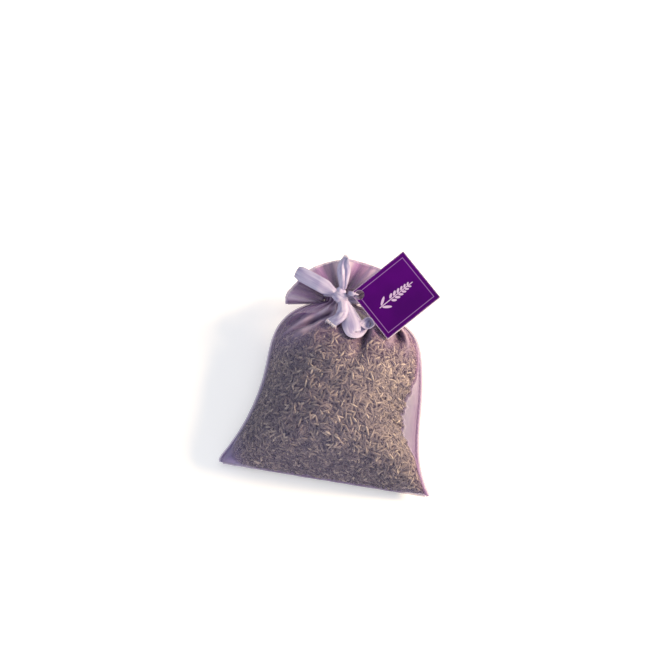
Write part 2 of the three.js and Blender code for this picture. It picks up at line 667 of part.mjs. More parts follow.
const sachet = new THREE.Group();
add(sachet, "front_panel", panel(1), organza);
add(sachet, "back_panel", panel(-1), organza);
add(sachet, "left_side_seam", sideSeam(-1), organzaSeam);
add(sachet, "right_side_seam", sideSeam(1), organzaSeam);
add(sachet, "bottom_seam", bottomSeam(), organzaSeam);
add(sachet, "lavender_fill", fill(), lavender);
sachet.add(neck);
add(neck, "front_frill", frill(1), organza);
add(neck, "back_frill", frill(-1), organza);
add(neck, "front_hem", hem(1), organzaSeam);
add(neck, "back_hem", hem(-1), organzaSeam);
add(neck, "ribbon_wrap", ribbon(wrapPath, WRAP_THICKNESS, WRAP_TURNS * WRAP_STEPS), satin);
add(bow, "ribbon_knot", knot(), satin);
add(bow, "left_loop", ribbon(leftLoopPath, RIBBON_THICKNESS, RIBBON_STEPS), satin);
const rightLoop = drapedPath(rightLoopRoute, DRAPE_POINTS);
add(bow, "right_loop", ribbon(rightLoop, RIBBON_THICKNESS, 2 * RIBBON_STEPS), satin);
add(bow, "upper_tail", ribbon(upperTailPath, RIBBON_THICKNESS, RIBBON_STEPS), satin);
const lowerTail = drapedPath(lowerTailRoute, DRAPE_POINTS);
add(bow, "lower_tail", ribbon(lowerTail, RIBBON_THICKNESS, RIBBON_STEPS), satin);
add(tie, "tag_tie", tieLoop(), satin);
add(tag, "tag_back_leaf", leaf(-TAG_THICKNESS - CLEARANCE / 2), card);
add(frontLeafHinge, "tag_front_leaf", leaf(0).translate(TAG_HOLE_FROM_SPINE, 0, 0), card);

console.log(`ribbon_wrap: least gap between turns ${wrapGap().toFixed(2)} mm`);

// The origin is under the middle of the bounding box, on the surface that the sachet lies on.
const box = new THREE.Box3().setFromObject(sachet, true);
const middle = box.getCenter(new THREE.Vector3());
sachet.position.set(-middle.x, -middle.y, -box.min.z);

const part = new THREE.Group();
part.add(sachet);
part.updateMatrixWorld(true);

export default part;
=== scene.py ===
# %% [markdown]
# # A lavender sachet
# A sachet is a small bag of sheer organza, filled with dried lavender buds, gathered at the neck and tied
# with a satin ribbon. A folded card tag hangs on the ribbon. This lesson dresses the packed solids: it
# loads them as the frame, and then makes each soft piece anew where its solid lies.

import json
import math

import bmesh
import bpy
import numpy as np
from mathutils import Matrix, Vector
from mathutils.bvhtree import BVHTree


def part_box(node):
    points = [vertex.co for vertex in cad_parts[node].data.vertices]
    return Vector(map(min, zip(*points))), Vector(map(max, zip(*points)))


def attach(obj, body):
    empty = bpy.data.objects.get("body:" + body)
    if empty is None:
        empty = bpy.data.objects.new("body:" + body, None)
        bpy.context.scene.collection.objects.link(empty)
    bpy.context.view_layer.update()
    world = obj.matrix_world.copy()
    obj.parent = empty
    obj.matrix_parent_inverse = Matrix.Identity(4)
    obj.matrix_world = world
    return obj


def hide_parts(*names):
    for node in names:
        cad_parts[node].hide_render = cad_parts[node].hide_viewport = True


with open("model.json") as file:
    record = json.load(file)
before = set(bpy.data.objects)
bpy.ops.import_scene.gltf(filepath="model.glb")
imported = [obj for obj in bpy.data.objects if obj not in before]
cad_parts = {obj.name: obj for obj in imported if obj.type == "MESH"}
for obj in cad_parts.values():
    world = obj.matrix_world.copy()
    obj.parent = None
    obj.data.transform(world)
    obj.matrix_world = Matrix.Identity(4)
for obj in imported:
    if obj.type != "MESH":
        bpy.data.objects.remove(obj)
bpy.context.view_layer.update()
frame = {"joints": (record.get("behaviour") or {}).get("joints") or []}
MM = 0.001

# %% [markdown]
# ## Camera
# The photograph looks down at the sachet from the front and a little from the right. A long lens keeps the
# bag's corners from spreading, so an 85 mm lens at about 0.74 m stands in for the photographer's. The bow's
# ends are short stiff tails and not free cords, so no cord has to be laid before the rest.

# %% Camera
LOOK_AT = Vector((-7.0, 13.6, 20.0)) * MM
AZIMUTH, ELEVATION, DISTANCE, FOCAL_LENGTH = math.radians(9.9), math.radians(65), 736 * MM, 85
away = Vector((math.sin(AZIMUTH) * math.cos(ELEVATION), -math.cos(AZIMUTH) * math.cos(ELEVATION),
               math.sin(ELEVATION)))
lens = bpy.data.cameras.new("camera")
lens.lens = FOCAL_LENGTH
camera = bpy.data.objects.new("camera", lens)
camera.location = LOOK_AT + away * DISTANCE
camera.rotation_euler = (-away).to_track_quat("-Z", "Y").to_euler()
bpy.context.scene.collection.objects.link(camera)
bpy.context.scene.camera = camera
print("camera at", [round(x, 3) for x in camera.location])

# %% [markdown]
# ## Light
# A warm soft key comes from the upper right, so the left half of the bag falls into shade. Weak lights from
# above and from the front, and a pale sky, fill the shadows. Large area lights give soft edges, and the
# Standard view transform keeps white paper white.

# %% Light
def soft_light(name, direction, distance, size, power, colour):
    """A square area light that looks at the sachet from a direction."""
    data = bpy.data.lights.new(name, "AREA")
    data.size, data.energy, data.color = size, power, colour
    lamp = bpy.data.objects.new(name, data)
    lamp.location = LOOK_AT + Vector(direction).normalized() * distance
    lamp.rotation_euler = (LOOK_AT - lamp.location).to_track_quat("-Z", "Y").to_euler()
    bpy.context.scene.collection.objects.link(lamp)
    return lamp


key = soft_light("key_light", (0.82, 0.27, 0.46), 1.6, 0.5, 52, (1.0, 0.77, 0.50))
top = soft_light("top_light", (0.1, 0.1, 1.0), 1.8, 1.6, 8, (0.95, 0.96, 1.0))
front = soft_light("front_light", (-0.25, -1.0, 0.45), 1.7, 1.4, 8, (1.0, 0.97, 0.97))
sky = bpy.data.worlds.new("sky")
sky.use_nodes = True
glow = sky.node_tree.nodes["Background"].inputs
glow["Color"].default_value, glow["Strength"].default_value = (0.80, 0.88, 1.0, 1), 0.40
bpy.context.scene.world = sky
bpy.context.scene.view_settings.view_transform = "Standard"
print("lights:", key.name, top.name, front.name, sky.name)

# %% [markdown]
# ## Writing materials as sums
# A finish is easier to read as arithmetic than as a web of nodes. A Wire holds one socket. Adding or
# multiplying Wires puts Math nodes into the tree, and `node` makes any other node.

# %% A socket that can be added and multiplied
def math_node(operation, swapped=False):
    """A method that puts one Math node into the tree."""
    def method(self, *others):
        values = (self, *others)[::-1 if swapped else 1]
        return self.node("ShaderNodeMath", {"operation": operation}, dict(enumerate(values)))
    return method


class Wire:
    """An output socket of a node tree, with arithmetic that adds Math nodes."""
    __add__ = __radd__ = math_node("ADD")
    __mul__ = __rmul__ = math_node("MULTIPLY")
    __sub__, __rsub__ = math_node("SUBTRACT"), math_node("SUBTRACT", swapped=True)
    __truediv__, __pow__ = math_node("DIVIDE"), math_node("POWER")
    sin, abs, least, most = map(math_node, ("SINE", "ABSOLUTE", "MINIMUM", "MAXIMUM"))

    def __init__(self, tree, socket=None):
        self.tree, self.socket = tree, socket

    def node(self, kind, settings=None, inputs=None, output=0):
        made = self.tree.nodes.new(kind)
        for name, value in (settings or {}).items():
            setattr(made, name, value)
        for name, value in (inputs or {}).items():
            if isinstance(value, Wire):
                self.tree.links.new(value.socket, made.inputs[name])
            else:
                made.inputs[name].default_value = value
        return Wire(self.tree, made.outputs[output])

    def step(self, low, high):
        """0 below low, 1 above high, and a smooth rise between."""
        return self.node("ShaderNodeMapRange", {"interpolation_type": "SMOOTHSTEP"},
                         {"Value": self, "From Min": low, "From Max": high})


print("a Wire can", [name.strip("_") for name, made in vars(Wire).items() if callable(made)])

# %% [markdown]
# A finish is one material. Its shader's sockets take constants where the real surface is even, and Wires where
# it varies. Colours are written as a screen shows them, because they were judged beside the photograph.

# %% A material with one shader
def srgb(red, green, blue):
    """A colour as a screen shows it, 0 to 255, in the linear numbers that Blender works with."""
    shown = [c / 255 for c in (red, green, blue)]
    return tuple(c / 12.92 if c <= 0.04045 else ((c + 0.055) / 1.055) ** 2.4 for c in shown) + (1.0,)


class Finish(Wire):
    """A material with one Principled shader. Its own sockets take constants, and `set` links Wires."""

    def __init__(self, name, **constants):
        self.material = bpy.data.materials.new(name)
        self.material.use_nodes = True
        super().__init__(self.material.node_tree)
        self.shader = self.tree.nodes["Principled BSDF"]
        for socket, value in constants.items():
            self.shader.inputs[socket.replace("_", " ")].default_value = value

    def set(self, **wires):
        for socket, wire in wires.items():
            self.tree.links.new(wire.socket, self.shader.inputs[socket.replace("_", " ")])

    def attribute(self, name):
        return self.node("ShaderNodeAttribute", {"attribute_name": name}, output="Fac")

    def across_along(self, uv_map):
        """The two coordinates of a piece's own UV map."""
        both = self.node("ShaderNodeUVMap", {"uv_map": uv_map})
        return tuple(self.node("ShaderNodeSeparateXYZ", {}, {"Vector": both}, axis) for axis in "XY")

    def noise(self, scale, detail=2.0, vector=None):
        vector = vector or self.node("ShaderNodeTexCoord", output="Object")
        return self.node("ShaderNodeTexNoise", {}, {"Vector": vector, "Scale": scale, "Detail": detail}, "Fac")

    def mix(self, factor, one, other):
        return self.node("ShaderNodeMix", {"data_type": "RGBA", "clamp_factor": True},
                         {"Factor": factor, 6: one, 7: other}, 2)

    def ramp(self, factor, *stops):
        wire = self.node("ShaderNodeValToRGB", {}, {"Fac": factor}, "Color")
        elements = wire.socket.node.color_ramp.elements
        while len(elements) < len(stops):
            elements.new(1)
        for element, (place, colour) in zip(elements, stops):
            element.position, element.color = place, colour
        return wire

    def bump(self, height, distance):
        inputs = {"Height": height, "Distance": distance, "Strength": 1.0}
        return self.node("ShaderNodeBump", {}, inputs, "Normal")


print("mid lilac is", [round(c, 3) for c in srgb(205, 170, 215)[:3]])

# %% [markdown]
# ## Floor
# The sachet was photographed on a white sweep. A wide plane with a faint paper grain takes its soft shadow.

# %% Floor
def placed(name, mesh, material, smooth=True):
    """Makes a mesh into an object at the origin, with one material."""
    mesh.polygons.foreach_set("use_smooth", [smooth] * len(mesh.polygons))
    mesh.materials.append(material)
    piece = bpy.data.objects.new(name, mesh)
    bpy.context.scene.collection.objects.link(piece)
    return piece


def finished(name, bm, material, smooth=True):
    """Makes a bmesh into an object."""
    mesh = bpy.data.meshes.new(name)
    bm.to_mesh(mesh)
    bm.free()
    return placed(name, mesh, material, smooth)


FLOOR_HALF_SIZE = 1.5
paper = Finish("white_sweep", Roughness=0.9, Emission_Color=(1, 0.985, 0.965, 1), Emission_Strength=0.28)
paper.set(Base_Color=paper.ramp(paper.noise(900), (0.3, (0.95, 0.93, 0.9, 1)), (0.7, (0.97, 0.95, 0.93, 1))))
bm = bmesh.new()
bmesh.ops.create_grid(bm, x_segments=1, y_segments=1, size=FLOOR_HALF_SIZE)
floor = finished("floor", bm, paper.material)
print("floor:", floor.dimensions[:])

# %% [markdown]
# ## The bag's form
# Everything soft follows one form: a pillow with two corners below, narrowing over a shoulder to a round
# neck, and opening again above the tie into a frill. A few short functions give it, in millimetres, with
# y along the bag from the bottom seam. They take whole arrays, so a sheet is placed in one call.

# %% Sizes and widths
BODY_LENGTH, SHOULDER_LENGTH = 80.0, 42.0
CORNER_HALF_WIDTH, CORNER_FLARE = 49.3, 13.0
LEFT_SIDE, RIGHT_SIDE = (36.8, 26.0, 8.4, 0.9), (35.4, 18.0, 20.0, 0.9)  # waist, flare, squareness, fall
LEFT_EAR_TRIM, LEFT_EAR_ROUND = 1.7, 3.6
SEAM_HEIGHT, CORNER_HEIGHT, NECK_RISE, SIDEWAYS_BEND, NECK_OFFSET = 13.0, 5.0, 12.0, 2.8, 5.4
CROWN_HEIGHT, CROWN_RUN, BACK_SETTLE, BACK_RUN = 26.0, 26.0, 6.0, 9.0
NECK_RADIUS, NECK_TILT, HALF_GAP = 7.5, math.radians(25), 0.2
NECK_SWELL = NECK_RADIUS - HALF_GAP
TIE_HALF_LENGTH, BOTTOM_ALLOWANCE = 3.5, 1.2
BOTTOM_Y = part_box("bottom_seam")[0].y / MM + BOTTOM_ALLOWANCE


def blend(a, b, t):
    return a + (b - a) * t


def ease(t):
    t = np.clip(t, 0, 1)
    return t * t * (3 - 2 * t)


def bell(t):
    return np.exp(-t ** 2)


def row(*parts):
    return np.stack(np.broadcast_arrays(*parts), axis=-1).astype(float)


def quarter_round(distance, run):
    return np.sqrt(1 - (1 - np.clip(distance / run, 0, 1)) ** 2)


def shoulder(y):
    """0 on the body and 1 at the tie."""
    return np.clip((y - BODY_LENGTH + SHOULDER_LENGTH) / SHOULDER_LENGTH, 0, 1)


def side_width(y, waist, flare, squareness, fall):
    t = np.clip(y / BODY_LENGTH, 0, 1)
    pillow = blend(NECK_RADIUS, waist, (1 - t ** squareness) ** fall)
    return pillow + (CORNER_HALF_WIDTH - waist) * np.exp(-y / flare) * (1 - t)


def half_width(hand, y):
    """From the middle to the left seam, where hand is negative, or to the right one. The left ear is blunt."""
    left = side_width(y, *LEFT_SIDE) - LEFT_EAR_TRIM * (1 - quarter_round(y, LEFT_EAR_ROUND))
    return np.where(hand < 0, left, side_width(y, *RIGHT_SIDE))


print("half widths at 30 mm:", [round(float(half_width(hand, 30.0)), 1) for hand in (-1, 1)])

# %% [markdown]
# A filled bag stands out of the plane of its side seams, more at the front than at the back, which settles on
# the table. Its cross-section is a pillow's on the body and becomes a half circle at the neck.

# %% Heights and cross-sections
def seam_height(y):
    from_corner = np.exp(-np.maximum(y, 0) / CORNER_FLARE)
    return blend(SEAM_HEIGHT, CORNER_HEIGHT, from_corner) + NECK_RISE * shoulder(y) ** 2


def seam_middle(y):
    """The middle of the bag at y, on the plane of its side seams."""
    bent = SIDEWAYS_BEND * np.sin(np.pi * np.clip(y / BODY_LENGTH, 0, 1))
    return row(bent - NECK_OFFSET * shoulder(y) ** 2, y, seam_height(y))


def swell(side, y):
    """How far the front (side 1) or the back (side -1) stands out of the seams' plane."""
    front = blend(CROWN_HEIGHT, NECK_SWELL, shoulder(y) ** 2.2) * quarter_round(y, CROWN_RUN)
    back = blend(seam_height(y) + BACK_SETTLE, NECK_SWELL, ease(shoulder(y))) * quarter_round(y, BACK_RUN)
    return np.where(side > 0, front, back)


def section(across, y):
    """A pillow's cross-section on the body, and a half circle at the neck."""
    gathered = ease(shoulder(y))
    fullness = blend(blend(0.6, 0.9, ease(y / 25)), 0.5, gathered)
    return np.clip(1 - np.abs(across) ** blend(2.4, 2, gathered), 0, 1) ** fullness


def stand_out(side, y, x, out):
    """The point at x across and out from the seams' plane, which tilts towards the neck."""
    tilt = NECK_TILT * shoulder(y) ** 2
    point = seam_middle(y)
    point[..., 0] += x
    point[..., 1] -= side * out * np.sin(tilt)
    point[..., 2] += side * out * np.cos(tilt)
    return point


def to_frame(points):
    """From the bag's millimetres to the frame's metres."""
    return (points + (0, BOTTOM_Y, 0)) * MM


print("the front stands out by", swell(1, np.array([10.0, 40.0, 80.0])).round(1), "mm")

# %% [markdown]
# ## Folds
# A drawn neck throws folds down the shoulders. Three are deep, as the photograph shows: one from the left
# side, one below the bow and one under the tag. Six shallow ones lie beside them, fine pleats run round the
# tie, and small lumps of the fill press through. Beside the fill a flat margin of empty cloth is left, wider
# on the right and in the left ear.

# %% Folds, lumps and flat margins
# Each fold: its turn at the tie and at its foot, its width, and its length and depth in millimetres.
DEEP_FOLDS = ((-0.03, -0.60, 0.06, 22, 4.6), (0.26, 0.03, 0.05, 38, 5.4), (0.66, 0.42, 0.06, 22, 5.0),
              (0.04, -0.32, 0.045, 20, 2.2), (0.06, -0.09, 0.05, 20, 1.2), (-0.30, -0.86, 0.06, 24, 1.8),
              (0.44, 0.26, 0.04, 18, 2.2), (0.84, 0.80, 0.05, 24, 2.2), (0.42, 0.34, 0.07, 24, 1.1))
LEAST_MARGIN, EAR_MARGIN, STRIP_AT, STRIP_WIDTH = 0.2, 7.0, 34.0, 6.4
EAR_PUFF, FLOOR_GAP = 3.2, 0.15
PLEATS, PLEAT_DEPTH = 11, 2.6


def pleats(turn):
    uneven = turn + 0.035 * np.sin(7.3 * turn + 1.1)
    return PLEAT_DEPTH * (0.5 - 0.5 * np.cos(np.pi * PLEATS * (uneven + 1)))


def lines_down(lines, turn, y, rise, fade=1.0):
    """Lines that run down the cloth from the tie, each highest along its middle."""
    height = 0 * turn
    for at_tie, at_foot, width, length, high in lines:
        run = np.clip((y - BODY_LENGTH + length) / length, 0, 1)
        height = height + high * ease(run / rise) * fade * bell((turn - blend(at_foot, at_tie, run)) / width)
    return height


def deep_folds(turn, y):
    return lines_down(DEEP_FOLDS, turn, y, 0.55, 1 - ease((y - BODY_LENGTH + 7) / 7))


def folds(turn, y):
    """How deep the cloth dips into the bag, where turn goes from -1 at the left seam to 1 at the right."""
    return pleats(turn) * shoulder(y) ** 3 + deep_folds(turn, y)


def lumps(x, y):
    """Slow waves whose lengths have no common measure, so that no lump repeats."""
    broad = 0.45 * np.sin(0.31 * x + 0.7) * np.sin(0.27 * y + 1.9)
    return broad + 0.3 * np.sin(0.63 * x - 0.41 * y) + 0.22 * np.sin(0.47 * x + 0.83 * y + 2.0)


def flat_margin(x, y):
    """The width of empty cloth between the fill and the side seam."""
    left = LEAST_MARGIN + EAR_MARGIN * np.exp(-y / 3.6)
    strip = np.where(y < STRIP_AT, np.exp(-((y - STRIP_AT) / 16) ** 4), bell((y - STRIP_AT) / 20))
    right = LEAST_MARGIN + strip * (STRIP_WIDTH + 0.7 * np.sin(0.8 * y) + 0.5 * np.sin(1.9 * y + 1))
    return np.where(x < 0, left, right) * (1 - ease(shoulder(y)))


def ear_puff(x, y):
    """Air in the left ear keeps its cloth off the table. The seam stays shut."""
    inside = ease((half_width(-1, y) + x) / 4) * quarter_round(y, 2)
    return EAR_PUFF * np.exp(-y / 6) * ease((-x - 36) / 5) * inside


def body_cloth(side, turn, y, folded=1.0):
    """The cloth below the tie. A smaller folded fills out the folds."""
    width = half_width(turn, y)
    x = width * np.sin(turn * np.pi / 2)
    lens_height = section(np.clip(np.abs(x) / (width - flat_margin(x, y)), 0, 1), y)
    dips = folded * folds(turn, y) + lumps(x, y) * (1 - shoulder(y)) * lens_height
    puff = swell(side, y) * lens_height
    out = HALF_GAP + np.maximum(puff - np.minimum(dips, 0.8 * swell(side, y)), 0)
    out = np.maximum(out, ear_puff(x, y))
    points = stand_out(side, y, x, out)
    points[..., 2] = np.maximum(points[..., 2], FLOOR_GAP)
    return points


print("deepest fold:", round(float(folds(np.linspace(-1, 1, 400), np.full(400, 66.0)).max()), 2), "mm")

# %% [markdown]
# ## Frill
# Above the tie the same cloth fans out. It is given in the neck's own frame: each point goes outward from
# the neck by its reach, waves up and down, and droops with its own weight. The left side falls over the tie,
# as in the photograph, and the right side stands up behind the tag.

# %% Frill above the tie
FRILL_LENGTH, FRILL_HALF_SPREAD, FRILL_HALF_ANGLE = 12.5, 25.5, math.radians(97)
FRILL_OPENING, FRILL_WAVES, FRILL_WAVE_HEIGHT = 4.0, 5, 5.5
FRILL_DROOP, LOBE_DROOP, LEFT_FALL, LEFT_SAG, RIGHT_FALL = 6.4, 1.6, 8.3, 1.3, 5.0
NECK_MIDDLE = seam_middle(np.array(BODY_LENGTH)) + TIE_HALF_LENGTH * np.array(
    [0, math.cos(NECK_TILT), math.sin(NECK_TILT)])
NECK_TURN = np.array(Matrix.Rotation(NECK_TILT, 3, "X"))


def frill_wave(turn):
    return 0.5 - 0.5 * np.cos(FRILL_WAVES * np.pi * (turn + 1))


def neck_cloth(side, turn, reach):
    """Cloth at and above the tie: reach is 0 where it leaves the tie."""
    spread = np.clip(reach / FRILL_LENGTH, 0, 1.2)
    gather, fan = turn * np.pi / 2, turn * FRILL_HALF_ANGLE
    crimp = 0.55 * np.sin(19 * np.pi * turn + 2.5 * spread) + 0.35 * np.sin(31 * turn + 1)
    across = blend(NECK_RADIUS * np.sin(gather), FRILL_HALF_SPREAD * np.sin(fan), spread)
    rise = blend(NECK_SWELL, FRILL_OPENING, spread) * np.cos(gather)
    ripple = FRILL_WAVE_HEIGHT * frill_wave(turn) * spread + crimp * np.sqrt(spread)
    ripple = ripple - pleats(turn) * np.maximum(1 - spread, 0)
    droop = spread ** 2 * (FRILL_DROOP + LOBE_DROOP * np.sin(fan) ** 2)
    lead = np.where(turn < 0, np.cos(fan), 1.06 * np.cos(0.4 * fan))
    fall = np.where(turn < 0, LEFT_FALL, RIGHT_FALL) * ease((spread - 0.01) / 0.08)
    fall = fall + LEFT_SAG * spread * (turn < 0)
    forward = FRILL_LENGTH * lead * spread - fall * np.sin(fan) ** 2
    local = row(across, TIE_HALF_LENGTH + np.minimum(reach, 0) + forward,
                side * (HALF_GAP + rise + ripple) - droop)
    return NECK_MIDDLE + local @ NECK_TURN.T


def cloth(side, turn, along):
    """The whole cloth: along is the distance from the bottom seam to the mouth."""
    above = (along > BODY_LENGTH)[..., None]
    body = body_cloth(side, turn, np.minimum(along, BODY_LENGTH))
    return np.where(above, neck_cloth(side, turn, along - BODY_LENGTH - 2 * TIE_HALF_LENGTH), body)


CLOTH_LENGTH = BODY_LENGTH + 2 * TIE_HALF_LENGTH + FRILL_LENGTH
print("cloth runs", CLOTH_LENGTH, "mm from the bottom seam to the mouth")

# %% [markdown]
# ## Organza
# Organza is a crisp, sheer weave of fine lilac thread. Seen flat it is nearly clear, and it thickens to the
# eye where it is gathered, folded over or seen through twice. An attribute, veil, says how dense each spot
# of the cloth is. The weave itself comes from the cloth's UV map, at about three threads to the millimetre.

# %% Organza finish
def organza(name, colour, shaded, threads):
    """Sheer cloth: threads are how many cross its width and its length."""
    sheer = Finish(name, Roughness=0.55, Specular_IOR_Level=0.35, Sheen_Weight=0.5, Sheen_Roughness=0.35,
                   Sheen_Tint=srgb(238, 225, 245))
    veil = sheer.attribute("veil")
    u, v = sheer.across_along("weave")
    warp, weft = (u * (threads[0] * 2 * math.pi)).sin(), (v * (threads[1] * 2 * math.pi)).sin()
    slub = sheer.node("ShaderNodeCombineXYZ", {}, {"X": u * 140, "Y": v * 5, "Z": 0.0})
    streak = sheer.noise(1.0, 2, slub)
    woven = sheer.mix(streak.step(0.3, 0.75), colour, shaded)
    blush = sheer.mix(sheer.attribute("blush"), srgb(150, 136, 180), woven)
    # Painted highlight: the colour pales to whitish lilac on crests, pleat tops and the frill's waves, by an
    # attribute.
    with_painted_highlight = sheer.mix(sheer.attribute("painted_highlight"), blush, srgb(232, 212, 236))
    sheer.set(
        # Painted shade: the depth attribute darkens the colour to deep violet in folds, near the tie and
        # between the frill's waves.
        Base_Color=sheer.mix(sheer.attribute("depth"), with_painted_highlight, srgb(66, 42, 90)),
        Alpha=(veil * (0.82 + 0.36 * streak) + warp * weft * 0.05 * (1 - veil)).least(1.0).most(0.0),
        Normal=sheer.bump(warp * 0.5 + weft * 0.5 + streak, 0.00008),
    )
    return sheer


lilac = organza("organza", srgb(192, 142, 204), srgb(152, 102, 176), (300, 340))
print("organza:", len(lilac.tree.nodes), "nodes")

# %% [markdown] ## Front and back cloth Each half of the bag is one piece of cloth from the bottom seam to the
# mouth. A flat grid is made first, as cloth is cut, and then its points are placed on the form. A cloth
# simulation would move the corners and the folds off the photograph, so the form and its folds come from
# formulas. Each point also keeps how dense, lilac, bright or shaded the cloth is there.

# %% Sheets bent from flat grids
def flat_grid(columns, rows):
    """A grid with a UV map, and its points, from -1 to 1 each way."""
    bm = bmesh.new()
    bm.loops.layers.uv.new("weave")
    bmesh.ops.create_grid(bm, x_segments=columns, y_segments=rows, size=1, calc_uvs=True)
    return bm, np.array([v.co for v in bm.verts])


def move_to(bm, points):
    for v, point in zip(bm.verts, points):
        v.co = point


def bent_grid(name, columns, rows, place, material):
    """A flat grid whose points are placed by a function that returns millimetres."""
    bm, flat = flat_grid(columns, rows)
    move_to(bm, place(flat[:, 0], flat[:, 1]) * MM)
    return finished(name, bm, material), flat


def in_frame(piece, body, slot, *nodes):
    """Ties a piece to the frame: the body it rides and the solids it replaces. slot is not used."""
    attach(piece, body)
    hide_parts(*nodes)
    return piece


def set_attribute(piece, name, values):
    piece.data.attributes.new(name, "FLOAT", "POINT").data.foreach_set("value", values.astype(np.float32))


print("a grid of 2 by 3 has", len(flat_grid(2, 3)[1]), "points")

# %% [markdown]
# Sheer cloth is denser where it is gathered, empty or creased, and greyer over the fill. Its colour also
# carries painted highlight along the crests between folds and painted shade inside them. One even shader would
# miss that, so four functions measure it on the form.

# %% How the cloth looks from spot to spot
# Each crest between folds: its turn at the tie and at its foot, its width, its length in millimetres and its
# strength.
RIDGES = ((0.0, -0.48, 0.035, 22, 1), (-0.14, -0.74, 0.04, 24, 1), (0.05, -0.20, 0.03, 18, 1),
          (0.34, 0.12, 0.03, 26, 1), (0.56, 0.34, 0.035, 24, 1), (0.76, 0.56, 0.04, 26, 1),
          (0.90, 0.88, 0.05, 36, 1), (-0.12, -0.52, 0.08, 27, 1))
LEFT_LOBE, LEFT_LOBE_WIDTH = -0.84, 0.09


def ridges(turn, y):
    """1 along the crests between the folds, where the cloth stands clear of the fill."""
    return np.clip(lines_down(RIDGES, turn, y, 0.5), 0, 1)


def veil_of(turn, along):
    """How dense the cloth looks: sheer over the fill, denser where it is gathered, empty or folded over."""
    y = np.minimum(along, BODY_LENGTH)
    width, gathered = half_width(turn, y), shoulder(y)
    x = width * np.sin(turn * np.pi / 2)
    empty = ease((np.abs(x) - width + flat_margin(x, y) + 1.8) / 1.6)
    frill = ease((along - BODY_LENGTH) / 8)
    ear = np.exp(-y / 8) * ease((np.abs(x) - 35) / 9) * (x < 0)
    rim = ease((np.abs(turn) - 0.66) / 0.3) * (1 - gathered ** 2)
    dense = 0.17 - 0.04 * ease(turn / 0.5) + 0.04 * gathered + 0.6 * gathered ** 6
    dense = dense + 0.42 * empty * (1 - gathered) + 0.5 * ear
    dense = dense + 0.15 * ease((gathered - 0.15) / 0.4) * ease((-0.1 - turn) / 0.4)
    dense = dense + 0.3 * np.exp(-y / 0.5) * ease((np.abs(x) - 30) / 12)
    creased = 0.04 * np.minimum(deep_folds(turn, y), 6) + 0.03 * pleats(turn) * gathered ** 3
    dense = dense + (creased + 0.26 * ridges(turn, y)) * (1 - frill) + 0.12 * rim
    return np.clip(blend(dense, 0.84, frill), 0, 0.95)


def blush_of(turn, along):
    """0 where the cloth over the fill looks grey violet, and 1 where it shows its own lilac. It is greyer on
    the left half of the shoulder, as painted shade for the side away from the light.
    """
    # Painted shade: less lilac on the left of the shoulder.
    left_shade = 1 - 0.5 * ease(-turn / 0.4) * (along < 72)
    return np.clip(ease(shoulder(along)) * left_shade + 0.8 * ease((turn - 0.6) / 0.3), 0, 1)


def frill_lobe(turn, along):
    """1 on the frill, and a bell that is 1 along the middle of its left lobe."""
    return ease((along - BODY_LENGTH - 3) / 7), bell((turn - LEFT_LOBE) / LEFT_LOBE_WIDTH)


def painted_highlight_of(turn, along):
    """Where a painted highlight goes: on pleats, ridges, the frill's waves and its left lobe."""
    frill, lobe = frill_lobe(turn, along)
    pleat_tops = (1 - pleats(turn) / PLEAT_DEPTH) ** 2 * ease((along - 68) / 14) * (1 - 0.6 * frill)
    crest_highlights = 0.55 * pleat_tops + 0.6 * ridges(turn, np.minimum(along, BODY_LENGTH))
    return np.clip(crest_highlights + 0.2 * frill * frill_wave(turn) ** 3 + 0.5 * frill * lobe, 0, 1)


def painted_shade_of(turn, along):
    """Where painted shade darkens the cloth: in its folds, near the tie and between the frill's waves."""
    frill, lobe = frill_lobe(turn, along)
    low = np.minimum(along, BODY_LENGTH)
    creases = (deep_folds(turn, low) / 5) ** 1.8 + 0.05 * pleats(turn) * shoulder(low) ** 3
    shade = 0.2 + 0.4 * (1 - frill_wave(turn)) ** 2 + 0.25 * (1 - ease((along - BODY_LENGTH - 6) / 9))
    shade = shade + 0.16 * ease(-turn / 0.5) - 0.25 * lobe
    return np.clip(np.where(along < BODY_LENGTH, creases, shade * frill), 0, 0.85)


print("veil at the middle and at the tie:", veil_of(np.zeros(2), np.array([40.0, BODY_LENGTH])).round(2))

# %% [markdown]
# The two halves are the same cloth. The back one is turned, so that its faces look outward too.

# %% Front and back cloth
CLOTH_CELLS = 176
for side, name in ((1, "front"), (-1, "back")):
    piece, flat = bent_grid(f"{name}_cloth", CLOTH_CELLS, CLOTH_CELLS, lambda turn, run: to_frame(
        cloth(side, turn, (run + 1) / 2 * CLOTH_LENGTH)) / MM, lilac.material)
    turn, along = flat[:, 0], (flat[:, 1] + 1) / 2 * CLOTH_LENGTH
    for attribute, measure in (("veil", veil_of), ("blush", blush_of), ("painted_highlight", painted_highlight_of),
                               ("depth", painted_shade_of)):
        set_attribute(piece, attribute, measure(turn, along))
    if side < 0:
        piece.data.flip_normals()
    in_frame(piece, "sachet", "organza", f"{name}_panel", f"{name}_frill")
    print(piece.name, "area", round(sum(p.area for p in piece.data.polygons) * 1e4, 1), "cm2")
front_cloth, back_cloth = bpy.data.objects["front_cloth"], bpy.data.objects["back_cloth"]

# %% [markdown]
# ## Lavender fill
# The bulk of the fill is one closed lump under the cloth. A UV sphere has a pole at each end, so its rings
# become the lump's cross-sections, and it stays closed. It is only seen between the buds, and it is coloured
# dark grey violet: partly the fill's own dust, partly painted shade for the gaps between buds.

# %% Dark core of the fill
FILL_FOOT, FILL_HEAD, FILL_INSET, FILL_SLACK, FILL_FLOOR_GAP = 0.2, 73.5, 2.1, 1.0, 1.6


def outward(bm):
    """Turns the faces of a closed piece outwards: its signed volume is then positive."""
    if bm.calc_volume(signed=True) < 0:
        bmesh.ops.reverse_faces(bm, faces=bm.faces)


def sphere(around, rings):
    bm = bmesh.new()
    bmesh.ops.create_uvsphere(bm, u_segments=around, v_segments=rings, radius=1)
    return bm


